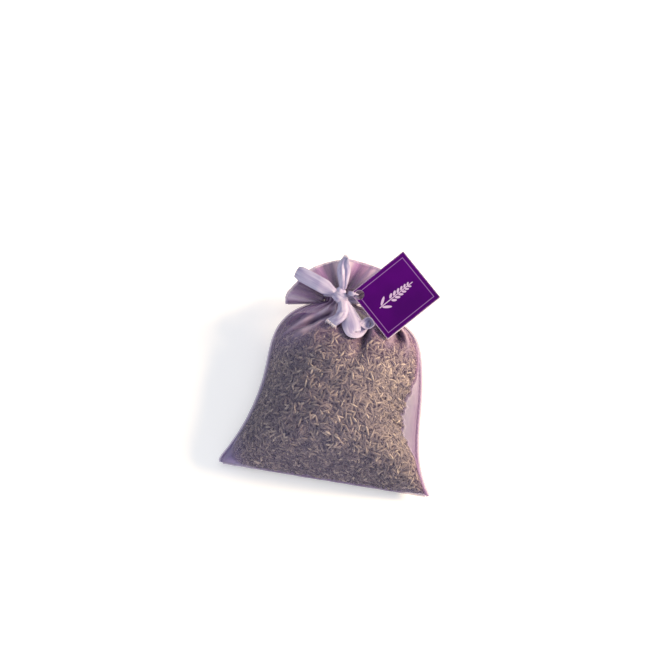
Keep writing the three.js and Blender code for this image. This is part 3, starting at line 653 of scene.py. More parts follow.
def fill_surface(side, across, y):
    width = half_width(across, y)
    x = (width - flat_margin(across, y) - 0.8) * across
    turn = np.arcsin(np.clip(x / width, -1, 1)) * 2 / np.pi
    ends = quarter_round(FILL_HEAD - y, 6) * quarter_round(y - FILL_FOOT + 0.2, 2)
    slack = FILL_SLACK * ease((y - 60) / 16) * (side > 0)
    dips = (FILL_INSET + slack) * section(across, y) ** 0.4 + folds(turn, y) * 0.95
    dips = dips + lumps(x, y) * (1 - shoulder(y)) * section(across, y)
    out = np.maximum(swell(side, y) * section(across, y) - dips, 0) * ends
    points = stand_out(side, y, x * (0.6 + 0.4 * ends), out)
    points[..., 2] = np.maximum(points[..., 2], FILL_FLOOR_GAP)
    return points


# Painted shade: the core's dark colour stands for shade in the gaps between buds, along with the fill's own
# dust.
dust_and_shade = Finish("lavender_dust_and_shade", Roughness=0.95)
dust_and_shade.set(Base_Color=dust_and_shade.ramp(dust_and_shade.noise(700, 4), (0.35, srgb(52, 44, 52)), (0.7, srgb(88, 76, 78))),
         Normal=dust_and_shade.bump(dust_and_shade.noise(1400, 3), 0.0004))
bm = sphere(112, 72)
ball = np.array([v.co for v in bm.verts])
ring = np.arccos(np.clip(ball[:, 2], -1, 1)) / np.pi
around = np.arctan2(ball[:, 1], ball[:, 0])
lump = fill_surface(np.where(np.sin(around) >= 0, 1, -1), np.cos(around), blend(FILL_FOOT, FILL_HEAD, ring))
move_to(bm, to_frame(lump))
bmesh.ops.smooth_vert(bm, verts=bm.verts, factor=0.3, use_axis_x=True, use_axis_y=True, use_axis_z=True)
outward(bm)
core = in_frame(finished("lavender_core", bm, dust_and_shade.material), "sachet", "lavender", "lavender_fill")
print("core:", len(core.data.polygons), "faces")

# %% [markdown]
# ## Lavender buds
# A dried bud is a slender grain, about 5 mm long, blunt at one end and a little bent. One bud of a few dozen
# faces is shaped from a sphere, and thousands of copies lie on the core, each turned its own way. Modelling
# them gives real gaps and shadows that a bump map can't. Copies are placed as arrays, because an operator
# for each would take minutes. Each keeps a tone, from grey violet to straw, for its material.

# %% One bud, and how copies are laid
rng = np.random.default_rng(7)


def repeated(name, shape, centres, turns, sizes, tones, material):
    """Copies of a small bmesh: each has a centre, a 3 by 3 turn, a size on each axis and a tone."""
    base = np.array([v.co for v in shape.verts])
    faces = [[v.index for v in face.verts] for face in shape.faces]
    shape.free()
    points = centres[:, None] + np.einsum("nij,nkj->nki", turns, base[None] * sizes[:, None])
    mesh = bpy.data.meshes.new(name)
    mesh.from_pydata(points.reshape(-1, 3), [], [[i + k * len(base) for i in face]
                                                 for k in range(len(centres)) for face in faces])
    piece = placed(name, mesh, material)
    set_attribute(piece, "tone", np.repeat(tones, len(base)))
    set_attribute(piece, "length", np.tile(base[:, 2], len(centres)))
    set_attribute(piece, "girth", np.tile(np.arctan2(base[:, 1], base[:, 0]), len(centres)))
    return piece


def bud_shape():
    bm = sphere(5, 6)
    for v in bm.verts:
        taper = 0.86 + 0.2 * v.co.z - 0.12 * v.co.z ** 2
        v.co.x = v.co.x * taper + 0.35 * (1 - v.co.z ** 2) - 0.2
        v.co.y *= taper
    return bm


def unit(vectors):
    return vectors / np.linalg.norm(vectors, axis=-1, keepdims=True)


def facing(normals, axes):
    """Turns whose third axis is the given one and whose first leans to the normal."""
    axes = unit(axes)
    sides = unit(np.cross(axes, normals))
    return np.stack([np.cross(sides, axes), sides, axes], axis=2)


print("one bud has", len(bud_shape().faces), "faces")

# %% [markdown]
# The buds lie in four layers over the whole lump. Points are drawn by area over the core's triangles, and
# those too close to one already taken are dropped, which spreads them evenly without a grid.

# %% Places for buds
def spaced(points, gap):
    """Indices of points that keep a gap from each other."""
    taken, cells = [], {}
    for k, point in enumerate(points):
        cell = tuple((point // gap).astype(int))
        near = [j for dx in (-1, 0, 1) for dy in (-1, 0, 1) for dz in (-1, 0, 1)
                for j in cells.get((cell[0] + dx, cell[1] + dy, cell[2] + dz), ())]
        if all(np.sum((points[j] - point) ** 2) > gap * gap for j in near):
            taken.append(k)
            cells.setdefault(cell, []).append(k)
    return np.array(taken)


def points_on(mesh, count):
    """Random points on a mesh, by area, with their normals. Its faces are sorted: their order varies by run."""
    turned = [[tuple(np.roll(face.vertices, -k)) for k in range(len(face.vertices))] for face in mesh.polygons]
    faces = sorted(map(min, turned))
    fans = [(face[0], face[k], face[k + 1]) for face in faces for k in range(1, len(face) - 1)]
    corner = np.array([v.co for v in mesh.vertices])[np.array(fans)]
    normal = np.cross(corner[:, 1] - corner[:, 0], corner[:, 2] - corner[:, 0])
    area = np.linalg.norm(normal, axis=1)
    pick = rng.choice(len(area), count, p=area / area.sum())
    weight = rng.dirichlet((1, 1, 1), count)
    return np.einsum("nk,nki->ni", weight, corner[pick]), unit(normal[pick])


skin_points, skin_faces = [], []
for piece in (front_cloth, back_cloth):
    skin_faces += [[i + len(skin_points) for i in face.vertices] for face in piece.data.polygons]
    skin_points += [v.co.copy() for v in piece.data.vertices]
skin = BVHTree.FromPolygons(skin_points, skin_faces)


def under_cloth(point, gap):
    """Whether a point lies inside the bag, at least a gap from its cloth."""
    place, normal = skin.find_nearest(Vector(point))[:2]
    return (Vector(point) - place).dot(normal) < -gap


print("skin over the fill:", len(skin_faces), "faces")

# %% [markdown]
# A dried bud is grey violet to straw, with faint ribs. The lower layers are painted darker, as painted shade
# since little light gets there, and the top layer a little lighter as painted light; the lowest buds tilt the
# most. A bud that would go through the cloth is turned, then sunk and shortened, and left out if it still
# doesn't fit.

# %% Four layers of buds
BUD_DRAWS, BUD_HALF_WIDTHS, BUD_HALF_LENGTHS = 20000, (0.56, 0.76), (1.9, 2.9)
BUD_ATTEMPTS, ATTEMPTS_BEFORE_SINKING, SINK, SHORTEN = 9, 5, 0.25, 0.9
TIP_GAP, MIDDLE_GAP = 0.25 * MM, 0.7 * MM


def lay_buds(name, gap, lift, tilt, layer_shade):
    places, normals = points_on(core.data, BUD_DRAWS)
    keep = spaced(places, gap)
    places, normals = places[keep], normals[keep]
    places = places + normals * rng.uniform(lift - 0.3, lift + 0.3, (len(keep), 1)) * MM
    sizes = np.stack([rng.uniform(*span, len(keep)) for span in
                      (BUD_HALF_WIDTHS, BUD_HALF_WIDTHS, BUD_HALF_LENGTHS)], axis=1) * MM
    axes, fits = np.zeros_like(places), np.zeros(len(keep), bool)
    for attempt in range(BUD_ATTEMPTS):
        ways, leans = rng.normal(size=(len(keep), 3)), rng.normal(0, tilt, len(keep))
        for k in np.flatnonzero(~fits):
            axes[k] = unit(unit(np.cross(normals[k], ways[k])) + normals[k] * leans[k])
            if attempt >= ATTEMPTS_BEFORE_SINKING:
                places[k] -= normals[k] * SINK * MM
                sizes[k, 2] *= SHORTEN
            tips = [places[k] + axes[k] * sizes[k, 2] * end for end in (-0.95, 0.95)]
            fits[k] = all(under_cloth(tip, TIP_GAP) for tip in tips) and under_cloth(places[k], MIDDLE_GAP)
    # Painted shade: each layer's tone is lowered by how deep the layer lies, and the top layer's is raised a
    # little as painted light.
    tones = np.clip(rng.normal(0.56, 0.2, len(keep)) - layer_shade, 0, 1)
    print(name, fits.sum(), "of", len(keep), "buds fit")
    return repeated(name, bud_shape(), places[fits], facing(normals, axes)[fits], sizes[fits], tones[fits],
                    lavender.material)


lavender = Finish("dried_lavender", Roughness=0.78)
tone, length, girth = (lavender.attribute(name) for name in ("tone", "length", "girth"))
ribs = (girth * 4 + tone * 9).sin()
mottle = lavender.noise(1500, 3)
shade = tone + (mottle - 0.5) * 0.55 + ribs * 0.05 - length.abs() ** 4 * 0.12
lavender.set(
    Base_Color=lavender.ramp(shade, (0.0, srgb(52, 48, 56)), (0.3, srgb(88, 82, 88)),
                             (0.55, srgb(121, 110, 109)), (0.8, srgb(152, 138, 130)),
                             (1.0, srgb(192, 176, 162))),
    Normal=lavender.bump(ribs * 0.5 + mottle, 0.00012),
)
for name, gap, lift, tilt, layer_shade in (("lavender_buds_under", 1.6 * MM, 0.1, 0.26, 0.3),
                                       ("lavender_buds_middle", 1.42 * MM, 0.6, 0.16, 0.2),
                                       ("lavender_buds_upper", 1.42 * MM, 0.9, 0.12, 0.04),
                                       ("lavender_buds", 1.42 * MM, 1.1, 0.1, -0.04)):
    in_frame(lay_buds(name, gap, lift, tilt, layer_shade), "sachet", "lavender", "lavender_fill")

# %% [markdown]
# ## Seams and hems
# The two halves are sewn together on three sides, and a narrow allowance stands out beyond the stitches. Its
# doubled cloth is denser and a little crisper. The mouth has a narrow hem. Each is a narrow grid laid along
# the cloth's edge, so it follows every wave of it.

# %% Seam allowances
SEAM_INSET, SEAM_FLANGE, HEM_WIDTH = 1.2, 0.7, 0.9
LEFT_TRIM, RIGHT_TRIM, FOOT_OUTSIDE, FOOT_INSIDE = 2.4, 1.6, 3.8, 5.0
doubled = organza("organza_seam", srgb(180, 154, 196), srgb(150, 124, 176), (8, 300))


def seam_edge(hand, along):
    """Points on a side seam: halfway between the front's and the back's edge."""
    turn = np.full_like(along, hand)
    return (cloth(1, turn, along) + cloth(-1, turn, along)) / 2


def side_strip(hand):
    def place(across, run):
        along = (run + 1) / 2 * CLOTH_LENGTH
        way = seam_edge(hand, along + 0.4) - seam_edge(hand, along - 0.4)
        tilt = NECK_TILT * shoulder(along) ** 2
        up = row(0, -np.sin(tilt), np.cos(tilt))
        out = unit(np.cross(way, up) * hand) * np.where(along > BODY_LENGTH + 2, 0.4, 1)[:, None]
        wave = 0.18 * np.sin(along * 0.9 + hand)[:, None] * up
        beyond = blend(-SEAM_INSET, SEAM_FLANGE, (across + 1) / 2)[:, None]
        return to_frame(seam_edge(hand, along) + out * beyond + wave) / MM
    return place


def bottom_strip(run, across):
    x = run * (CORNER_HALF_WIDTH - np.where(run < 0, LEFT_TRIM, RIGHT_TRIM))
    inward = (across + 1) / 2
    z = blend(FOOT_OUTSIDE, FOOT_INSIDE, ease(inward)) + 0.15 * np.sin(x * 0.8)
    return to_frame(row(x, blend(-0.5 * SEAM_FLANGE, SEAM_INSET, inward), z)) / MM


def mouth_strip(side):
    def place(turn, across):
        along = CLOTH_LENGTH + blend(-0.2, HEM_WIDTH, (across + 1) / 2)
        points = neck_cloth(side, turn, along - BODY_LENGTH - 2 * TIE_HALF_LENGTH)
        points[..., 2] += side * 0.12
        return to_frame(points) / MM
    return place


STRIPS = (("left_side_seam", 3, 150, side_strip(-1), "left_side_seam"),
          ("right_side_seam", 3, 150, side_strip(1), "right_side_seam"),
          ("bottom_seam_strip", 140, 3, bottom_strip, "bottom_seam"),
          ("front_mouth_hem", 170, 3, mouth_strip(1), "front_hem"),
          ("back_mouth_hem", 170, 3, mouth_strip(-1), "back_hem"))
for name, columns, rows, place, node in STRIPS:
    strip, flat = bent_grid(name + "_cloth", columns, rows, place, doubled.material)
    set_attribute(strip, "veil", np.full(len(flat), 0.8 if "hem" in name else 0.6))
    set_attribute(strip, "blush", np.full(len(flat), 0.8))
    in_frame(strip, "sachet", "organza_seam", node)
    print(strip.name, len(strip.data.polygons), "faces")

# %% [markdown]
# A line of machine stitches runs just inside each allowance. Each stitch is a small ball drawn out along the
# seam, half sunk in the cloth, with the twist of its thread as a bump. Copies keep all of them in one mesh.

# %% Stitches along the seams
STITCH_STEP, STITCH_SIZE, UP = 2.4, (0.13, 0.13, 0.75), np.array([0.0, 0.0, 1.0])
rows = [row(np.arange(-45, 46, STITCH_STEP), 0.35, 5.3)]
for hand in (-1, 1):
    rows.append(seam_edge(hand, np.arange(4, BODY_LENGTH - 10, STITCH_STEP)) + (-0.4 * hand, 0, 0.4))
centres, axes = np.concatenate(rows), np.concatenate([unit(np.gradient(points, axis=0)) for points in rows])
thread = Finish("stitch_thread", Roughness=0.55, Sheen_Weight=0.3)
ply = (thread.attribute("girth") * 2 + thread.attribute("length") * 6).sin()
thread.set(Base_Color=thread.mix(ply * 0.5 + 0.5, srgb(140, 116, 168), srgb(184, 160, 204)),
           Normal=thread.bump(ply, 0.00005))
stitches = repeated("seam_stitches", sphere(6, 5), to_frame(centres), facing(UP, axes),
                    np.full(centres.shape, STITCH_SIZE) * MM, rng.random(len(centres)), thread.material)
in_frame(stitches, "sachet", "organza_seam", "bottom_seam", "left_side_seam", "right_side_seam")
print("stitches:", len(centres))

# %% [markdown]
# ## Satin ribbon
# The bow is 7 mm satin ribbon: white with a lilac cast, glossy across its weft. Its fine lines run along it
# and come from its UV map, as they follow every bend. Near the knot the ribbon is bunched into creases.

# %% Satin finish
satin = Finish("satin", Roughness=0.34, Specular_IOR_Level=0.5, Sheen_Weight=0.25, Sheen_Roughness=0.3)
u, v = satin.across_along("weave")
stretched = satin.node("ShaderNodeCombineXYZ", {}, {"X": u * 4, "Y": v * 3.0, "Z": 0.0})
crease = satin.noise(1.0, 3, stretched)
lines = (u * (46 * 2 * math.pi)).sin()
selvedge = ((u - 0.5).abs() * 2).step(0.90, 0.97)
satin.set(
    # Painted shade and painted highlight: the colour follows the crease noise that also drives the bump, lilac
    # grey in the creases and pale on their tops.
    Base_Color=satin.mix(crease.step(0.3, 0.7), srgb(158, 147, 190), srgb(204, 197, 222)),
    Roughness=0.30 + 0.14 * crease + 0.1 * selvedge,
    Normal=satin.bump(lines * 0.2 + selvedge * 0.6 + crease * 0.7, 0.00010),
)
print("satin:", len(satin.tree.nodes), "nodes")

# %% [markdown]
# The bow's pieces are laid out from the knot, in the neck's directions. The frame's joints say where that
# is: the tag lifts about a point beside the knot, on an axis along the neck.

# %% Where the knot is
joints = {joint["name"]: joint for joint in frame["joints"]}
KNOT_SIZE = np.array([3.0, 4.0, 3.2])
TIE_RADIUS, TIE_RAISE, CLEARANCE = 0.55, 1.6, 0.3
BOW_X = np.array([1.0, 0.0, 0.0])
BOW_Y = -np.array(joints["tag_lift"]["axis"])
BOW_Z = np.cross(BOW_X, BOW_Y)
BOW_AXES = np.array([BOW_X, BOW_Y, BOW_Z])
TIE_START = np.array(joints["tag_lift"]["pos_m"]) / MM
KNOT = TIE_START - BOW_X * (KNOT_SIZE[0] + CLEARANCE + TIE_RADIUS) - BOW_Y * TIE_RAISE


def from_bow(points):
    """From the bow's millimetres to the frame's."""
    return KNOT + points @ BOW_AXES


print("knot at", np.round(KNOT, 2), "mm")

# %% [markdown]
# A ribbon is a grid too. A path gives the middle line, the direction across, and the width; a little cup
# across the width keeps it from looking like a strip of metal, and a crease can run along it. Satin is thin, so
# a modifier thickens it and another rounds its bends. Strands that lie on the bag bridge its folds,
# so they are raised on to a copy of the front cloth with shallow folds, by casting rays down on it.

# %% A ribbon along a path
RIBBON_WIDTH, STRAND_WIDTH, STRAND_GAP, RIBBON_COLUMNS = 7.0, 3.4, 1.6, 16
RIBBON_THICKNESS, BRIDGED, BAG_CELLS, ABOVE_ALL = 0.28, 0.2, 90, 200
bm, flat = flat_grid(BAG_CELLS, BAG_CELLS)
move_to(bm, to_frame(body_cloth(1, flat[:, 0], (flat[:, 1] + 1) / 2 * BODY_LENGTH, folded=BRIDGED)))
bag = BVHTree.FromBMesh(bm)
bm.free()


def rested(points, lift):
    """Raises points, in the frame's millimetres, until each clears the bag by its lift."""
    for k, point in enumerate(points):
        hit = bag.ray_cast(Vector((point[0], point[1], ABOVE_ALL)) * MM, Vector((0, 0, -1)))[0]
        if hit is not None:
            points[k, 2] = max(point[2], hit.z / MM + lift[k])
    return points


def ribbon(name, path, rows, node, lift=None, crease=0.0):
    """path(t) returns the middle, the direction across, the width and the cup, for t from 0 to 1."""
    def place(across, run):
        t = (run + 1) / 2
        middle, way, width, cup = path(t)
        along = path(np.minimum(t + 0.01, 1))[0] - path(np.maximum(t - 0.01, 0))[0]
        way = unit(way - along * (np.sum(way * along, axis=-1) / np.sum(along * along, axis=-1))[:, None])
        bend = cup * (0.5 - across ** 2) - crease * bell((across + 0.2) / 0.2)
        points = middle + way * (across * width / 2)[:, None] + unit(np.cross(along, way)) * bend[:, None]
        height = np.maximum(points[:, 2], 0)
        points = from_bow(points)
        return points if lift is None else rested(points, lift + height)

    piece, _ = bent_grid(name, RIBBON_COLUMNS, rows, place, satin.material)
    thick = piece.modifiers.new("ribbon_thickness", "SOLIDIFY")
    thick.thickness, thick.offset = RIBBON_THICKNESS * MM, 0
    fine = piece.modifiers.new("soft_bend", "SUBSURF")
    fine.levels = fine.render_levels = 1
    return in_frame(piece, "sachet", "satin", node)


def knot_reach(angle):
    return 1 / math.hypot(math.cos(angle) / KNOT_SIZE[0], math.sin(angle) / KNOT_SIZE[1])


print("the bag's height under the knot:", rested(np.array([KNOT - (0, 6, 50)]), [0])[0].round(1))

# %% [markdown]
# The left loop lies flat, pressed nearly shut. The right one hangs over the front: a broad petal is folded
# under, and the strand makes a small ring beside it on its way back to the knot. One tail lies down the front,
# and the other stands up over the frill with a crease along it. Free strands go through stations that were
# read off the photograph, which a simulated ribbon would not keep.

# %% Loops and tails
LEFT_LEAN, LEFT_BUMP, REST_LIFT = math.radians(9), 0.8, 0.45
LEFT_ANGLE, LEFT_LENGTH, LEFT_OPENING, LEFT_RISE = math.radians(160), 20.6, 3.6, math.radians(2)


def through(stations):
    """A smooth line through rows of numbers, for t from 0 to 1."""
    rows = np.array(stations, float)
    ends = np.vstack([2 * rows[0] - rows[1], rows, 2 * rows[-1] - rows[-2]])

    def at(t):
        k = np.clip((t * (len(rows) - 1)).astype(int), 0, len(rows) - 2)
        f = (t * (len(rows) - 1) - k)[:, None]
        a, b, c, d = (ends[k + i] for i in range(4))
        return b + 0.5 * f * (c - a + f * (2 * a - 5 * b + 4 * c - d + f * (3 * (b - c) + d - a)))
    return at


def left_loop_path(t):
    out = np.array([math.cos(LEFT_ANGLE), math.sin(LEFT_ANGLE), 0])
    reach = 0.5 - 0.5 * np.cos(2 * np.pi * t)
    middle = (knot_reach(LEFT_ANGLE) - 0.8 + LEFT_LENGTH * reach)[:, None] * out
    apart = LEFT_OPENING * np.sin(2 * np.pi * t) + STRAND_GAP * np.cos(np.pi * t)
    bump = LEFT_BUMP * bell((reach - 0.4) / 0.13) * np.cos(np.pi * t)
    middle[:, 2] = apart / 2 + LEFT_LENGTH * reach * math.tan(LEFT_RISE) + bump
    pinch = ease(reach / 0.28)
    width = blend(STRAND_WIDTH, RIBBON_WIDTH, pinch) * (1 - 0.22 * ease((reach - 0.86) / 0.14))
    way = row(-out[1] * math.cos(LEFT_LEAN), out[0] * math.cos(LEFT_LEAN), 0 * t - math.sin(LEFT_LEAN))
    return middle, way, width, blend(1.4, 0.5, pinch)


def strand(stations):
    """A ribbon's path through stations."""
    line = through(stations)

    def path(t):
        x, y, z, width, turned, cup = line(t).T
        ahead, behind = line(np.minimum(t + 0.01, 1)), line(np.maximum(t - 0.01, 0))
        way = unit((ahead - behind)[:, :3])
        flat = unit(np.cross(row(0, 0, 1 + 0 * t), way))
        up = np.cross(way, flat)
        lean = turned[:, None] * np.pi / 2
        return row(x, y, z), flat * np.cos(lean) + up * np.sin(lean), width, cup
    return path


# Each station: x, y and height from the knot, width, quarter turns on edge, cup.
RIGHT_LOOP = ((2.0, -2.4, 1.4, 3.4, 0, 1.2), (4.6, -7.0, 2.0, 6.0, 0, 0.9), (6.6, -11.8, 2.0, 8.6, 0.16, 0.7),
              (7.9, -16.0, 1.6, 9.2, 0.2, 0.5), (9.0, -19.2, 1.2, 7.2, 0.12, 0.2),
              (10.8, -18.4, 0.5, 6.0, 0.1, 0), (12.2, -15.6, 0.6, 5.6, 0.1, 0.2),
              (13.2, -12.4, 1.0, 5.2, 0.1, 0.4), (14.2, -9.4, 1.6, 4.0, 0.5, 0), (15.9, -9.0, 1.9, 3.6, 0.7, 0),
              (17.2, -11.8, 1.9, 3.6, 0.7, 0), (15.2, -14.4, 1.8, 3.6, 0.7, 0), (12.6, -12.9, 1.2, 3.2, 0.4, 0),
              (8.0, -8.0, 0.3, 3.4, 0.1, 0.3), (2.8, -2.4, 0.6, 3.2, 0.2, 0.8))
LOWER_TAIL = ((1.6, -2.4, 2.4, 4.0, 0, 1.6), (2.4, -6.8, 3.2, 5.4, 0.1, 1.7), (1.4, -11.2, 2.6, 5.8, 0.1, 1.3),
              (-1.6, -14.8, 0.8, 6.4, 0, 0.5))
UPPER_TAIL = ((1.2, 3.0, 0.9, 3.2, 0.3, 1.4), (0.9, 7, 2.2, 5.0, 0.2, 1.6), (0.2, 11, 3.0, 6.2, 0.05, 1.6),
              (-0.3, 14.4, 3.6, 5.4, -0.15, 1.2), (0.1, 17.6, 3.8, 3.4, -0.4, 0.5))
left_loop = ribbon("left_loop_ribbon", left_loop_path, 72, "left_loop")
right_loop = ribbon("right_loop_ribbon", strand(RIGHT_LOOP), 110, "right_loop", lift=REST_LIFT)
lower_tail = ribbon("lower_tail_ribbon", strand(LOWER_TAIL), 48, "lower_tail", lift=REST_LIFT)
upper_tail = ribbon("upper_tail_ribbon", strand(UPPER_TAIL), 52, "upper_tail", crease=1.1)
print("ribbon faces:", [len(p.data.polygons) for p in (left_loop, right_loop, lower_tail, upper_tail)])

# %% [markdown]
# Cut satin frays: a fringe of short threads stands out of each tail's end. Each is a thin cone, set along the
# end's edge in the direction that the ribbon runs, with a little scatter.

# %% Frayed ends
FRAY_THREADS, FRAY_RADIUS, FRAY_LENGTHS, FRAY_SCATTER = 60, 0.1, (0.4, 1.15), 0.36
fringe = Finish("frayed_satin", Roughness=0.5, Sheen_Weight=0.3)
ply = (fringe.attribute("length") * 7 + fringe.attribute("tone") * 9).sin()
fringe.set(Base_Color=fringe.mix(fringe.attribute("tone"), srgb(214, 202, 224), srgb(252, 248, 252)),
           Normal=fringe.bump(ply, 0.00003))
for tail, node in ((lower_tail, "lower_tail"), (upper_tail, "upper_tail")):
    rows = np.array([v.co for v in tail.data.vertices]).reshape(-1, RIBBON_COLUMNS + 1, 3)
    pick = rng.uniform(0, RIBBON_COLUMNS - 0.01, FRAY_THREADS)
    low, part = pick.astype(int), (pick % 1)[:, None]
    roots = blend(rows[-1][low], rows[-1][low + 1], part)
    axes = unit(unit(roots - rows[-4][low]) + rng.normal(0, FRAY_SCATTER, roots.shape))
    lengths = rng.uniform(*FRAY_LENGTHS, FRAY_THREADS)
    bm = bmesh.new()
    bmesh.ops.create_cone(bm, cap_ends=True, segments=5, radius1=1, radius2=0.5, depth=2)
    fray = repeated(tail.name.replace("ribbon", "fray"), bm, roots + axes * lengths[:, None] * 0.8 * MM,
                    facing(BOW_Z, axes), row(FRAY_RADIUS, FRAY_RADIUS, lengths) * MM, rng.random(FRAY_THREADS),
                    fringe.material)
    in_frame(fray, "sachet", "satin", node)
    print(fray.name, FRAY_THREADS, "threads")

# %% [markdown]
# ## Wrap and knot
# Two turns of bunched ribbon go round the neck, and the knot sits on them. The wrap is a tube: a grid is rolled
# up, its seam is merged, and its ends are hidden in the knot. The knot is a ball drawn in by creases, with a
# flat turn of ribbon that slants over its front.

# %% Wrap round the neck, and knot
def rolled(name, rows, columns, place, body, node, closed=False):
    """A tube: a grid rolled up round a line, with its seam merged and its ends filled."""
    bm, flat = flat_grid(columns, rows)
    move_to(bm, place((flat[:, 0] + 1) * np.pi, (flat[:, 1] + 1) / 2) * MM)
    bmesh.ops.remove_doubles(bm, verts=bm.verts, dist=0.01 * MM)
    if not closed:
        bmesh.ops.holes_fill(bm, edges=[e for e in bm.edges if e.is_boundary], sides=0)
    bmesh.ops.recalc_face_normals(bm, faces=bm.faces)
    outward(bm)
    return in_frame(finished(name, bm, satin.material), body, "satin", node)


WRAP_RADIUS, WRAP_TURNS, WRAP_PITCH, WRAP_WIDTH, WRAP_THICKNESS = 8.35, 2, 2.1, 2.0, 1.0
WRAP_MIDDLE = to_frame(NECK_MIDDLE) / MM


def wrap_place(girth, t):
    turn = 2 * np.pi * WRAP_TURNS * t
    pucker = 1 + 0.10 * np.sin(5 * girth + 2 * np.sin(turn * 2))
    radius = WRAP_RADIUS + WRAP_THICKNESS / 2 * np.cos(girth) * pucker
    local = row(radius * np.sin(turn), WRAP_PITCH * WRAP_TURNS * (t - 0.5) + WRAP_WIDTH / 2 * np.sin(girth),
                radius * np.cos(turn))
    return WRAP_MIDDLE + local @ BOW_AXES


wrap = rolled("ribbon_wrap_satin", 160, 20, wrap_place, "sachet", "ribbon_wrap")

bm = bmesh.new()
bm.loops.layers.uv.new("weave")
bmesh.ops.create_uvsphere(bm, u_segments=40, v_segments=28, radius=1, calc_uvs=True)
ball = np.array([v.co for v in bm.verts])[:, [0, 2, 1]]
about = np.arctan2(ball[:, 2], ball[:, 0])
waist = 1 - ball[:, 1] ** 2
creased = 1 - 0.07 * waist * (1 + np.cos(5 * about + 2.4 * ball[:, 1])) - 0.05 * np.sin(9 * ball[:, 1] + about)
move_to(bm, from_bow(ball * creased[:, None] * KNOT_SIZE) * MM)
outward(bm)
knot = in_frame(finished("ribbon_knot_satin", bm, satin.material), "sachet", "satin", "ribbon_knot")
BAND_HALF_ANGLE, BAND_ACROSS, BAND_START, BAND_DROP, BAND_HEIGHT, BAND_WIDTH = 1.75, 3.25, 1.1, 3.9, 3.3, 4.0


def band_path(t):
    """A flat turn of ribbon over the front of the knot, slanting down to the right."""
    angle = blend(-BAND_HALF_ANGLE, BAND_HALF_ANGLE, t)
    middle = row(BAND_ACROSS * np.sin(angle), BAND_START - BAND_DROP * t, BAND_HEIGHT * np.cos(angle))
    return middle, row(0.45, 1.0, 0 * t), BAND_WIDTH + 0.5 * np.cos(2 * angle), 0.55 + 0 * t


band = ribbon("knot_band_ribbon", band_path, 36, "ribbon_knot")
print("faces:", [(p.name, len(p.data.polygons)) for p in (wrap, knot, band)])

# %% [markdown]
# ## Tag tie
# One strand of the ribbon is drawn through the tag's hole and back into the knot, so the tag turns in a small
# loop. It is flat over the knot, and bunched narrow where it goes through the hole, near the hole's edge. It
# lifts with the tag, so it rides its own body.

# %% Tie through the tag's hole
TAG_HOLE_FROM_SPINE, TAG_HOLE_FROM_TOP, TAG_HOLE_RADIUS, TIE_OFF_CENTRE = 2.7, 3.2, 2.2, 0.8
HOLE_FROM_CORNER = math.hypot(TAG_HOLE_FROM_SPINE, TAG_HOLE_FROM_TOP)
TIE_HALF_SPAN = (HOLE_FROM_CORNER + TIE_RADIUS + CLEARANCE - TIE_OFF_CENTRE) / 2
TIE_HEIGHT, TIE_DEPTH, TIE_BROAD, TIE_BUNCHED = 4.2, 2.6, 1.9, 0.7


def tie_place(girth, t):
    turn = 2 * np.pi * t
    height = np.where(np.sin(turn) > 0, TIE_HEIGHT, TIE_DEPTH)
    line = row(TIE_HALF_SPAN * (1 - np.cos(turn)), 0, height * np.sin(turn))
    out = unit(row(-np.cos(turn) / TIE_HALF_SPAN, 0, np.sin(turn) / height))
    fat = TIE_RADIUS * (1 + 0.12 * np.sin(3 * girth + 4 * turn))
    broad = fat * blend(TIE_BROAD, TIE_BUNCHED, ease((-np.cos(turn) + 0.1) / 0.8))
    points = line + out * (0.7 * fat * np.cos(girth))[:, None] + row(0, broad * np.sin(girth), 0)
    return TIE_START + points @ BOW_AXES


tie = rolled("tag_tie_satin", 96, 14, tie_place, "tag_tie", "tag_tie", closed=True)
print("tie:", len(tie.data.polygons), "faces")

# %% [markdown]
# ## Tag
# The tag is one card folded in two: printed deep violet outside, pale inside and along its cut edges. The
# print is a thin border and a plain sprig. Both are drawn by the leaf's UV map, in millimetres, so they stay
# sharp at any size. Fine fibres roughen the card, and its ink is a little worn at the rim.

# %% Card finish
TAG_WIDTH, TAG_HEIGHT, TAG_THICKNESS, TAG_OPEN = 31.0, 27.5, 0.4, math.radians(3)
BORDER_INSET, STEM_HEIGHT = 2.2, 13.6
# Each petal: its place along the stem and off it, and its half length and half width.
PETALS = ((9.2, 1.7, 2.3, 0.62), (13.6, 1.25, 1.3, 0.6), (15.7, 1.2, 1.3, 0.6), (17.7, 1.1, 1.2, 0.56),
          (19.6, 1.0, 1.1, 0.52), (21.4, 0.9, 1.0, 0.48), (23.1, 0.75, 0.9, 0.42))
card = Finish("card", Roughness=0.6, Specular_IOR_Level=0.06)
u, v = card.across_along("print")
x, y = u * TAG_WIDTH, v * TAG_HEIGHT
rim = x.least(TAG_WIDTH - x).least(y.least(TAG_HEIGHT - y))
border = (rim - BORDER_INSET).abs().step(0.24, 0.14)
fibre = card.noise(2600, 3)
cast = card.noise(60, 2)
ink = card.mix(cast.step(0.3, 0.7), srgb(64, 0, 94), srgb(76, 0, 108))
off_stem = (y - STEM_HEIGHT).abs()
sprig = off_stem.step(0.26, 0.16) * x.step(6.0, 6.3) * x.step(25.6, 25.2)
for cx, cy, half_length, half_height in PETALS:
    run, rise = x - cx, off_stem - cy
    along, aside = run * 0.82 + rise * 0.57, rise * 0.82 - run * 0.57
    petal = (along / half_length) ** 2.0 + (aside / half_height) ** 2.0
    sprig = sprig.most(petal.step(1.05, 0.8))
ink = card.mix(border * 0.55, ink, srgb(168, 126, 188))
ink = card.mix(sprig * 0.9, ink, srgb(206, 182, 216))
worn = (0.55 - rim + (fibre - 0.5) * 0.9).step(0.0, 0.5)
ink = card.mix(worn * 0.7, ink, srgb(196, 176, 206))
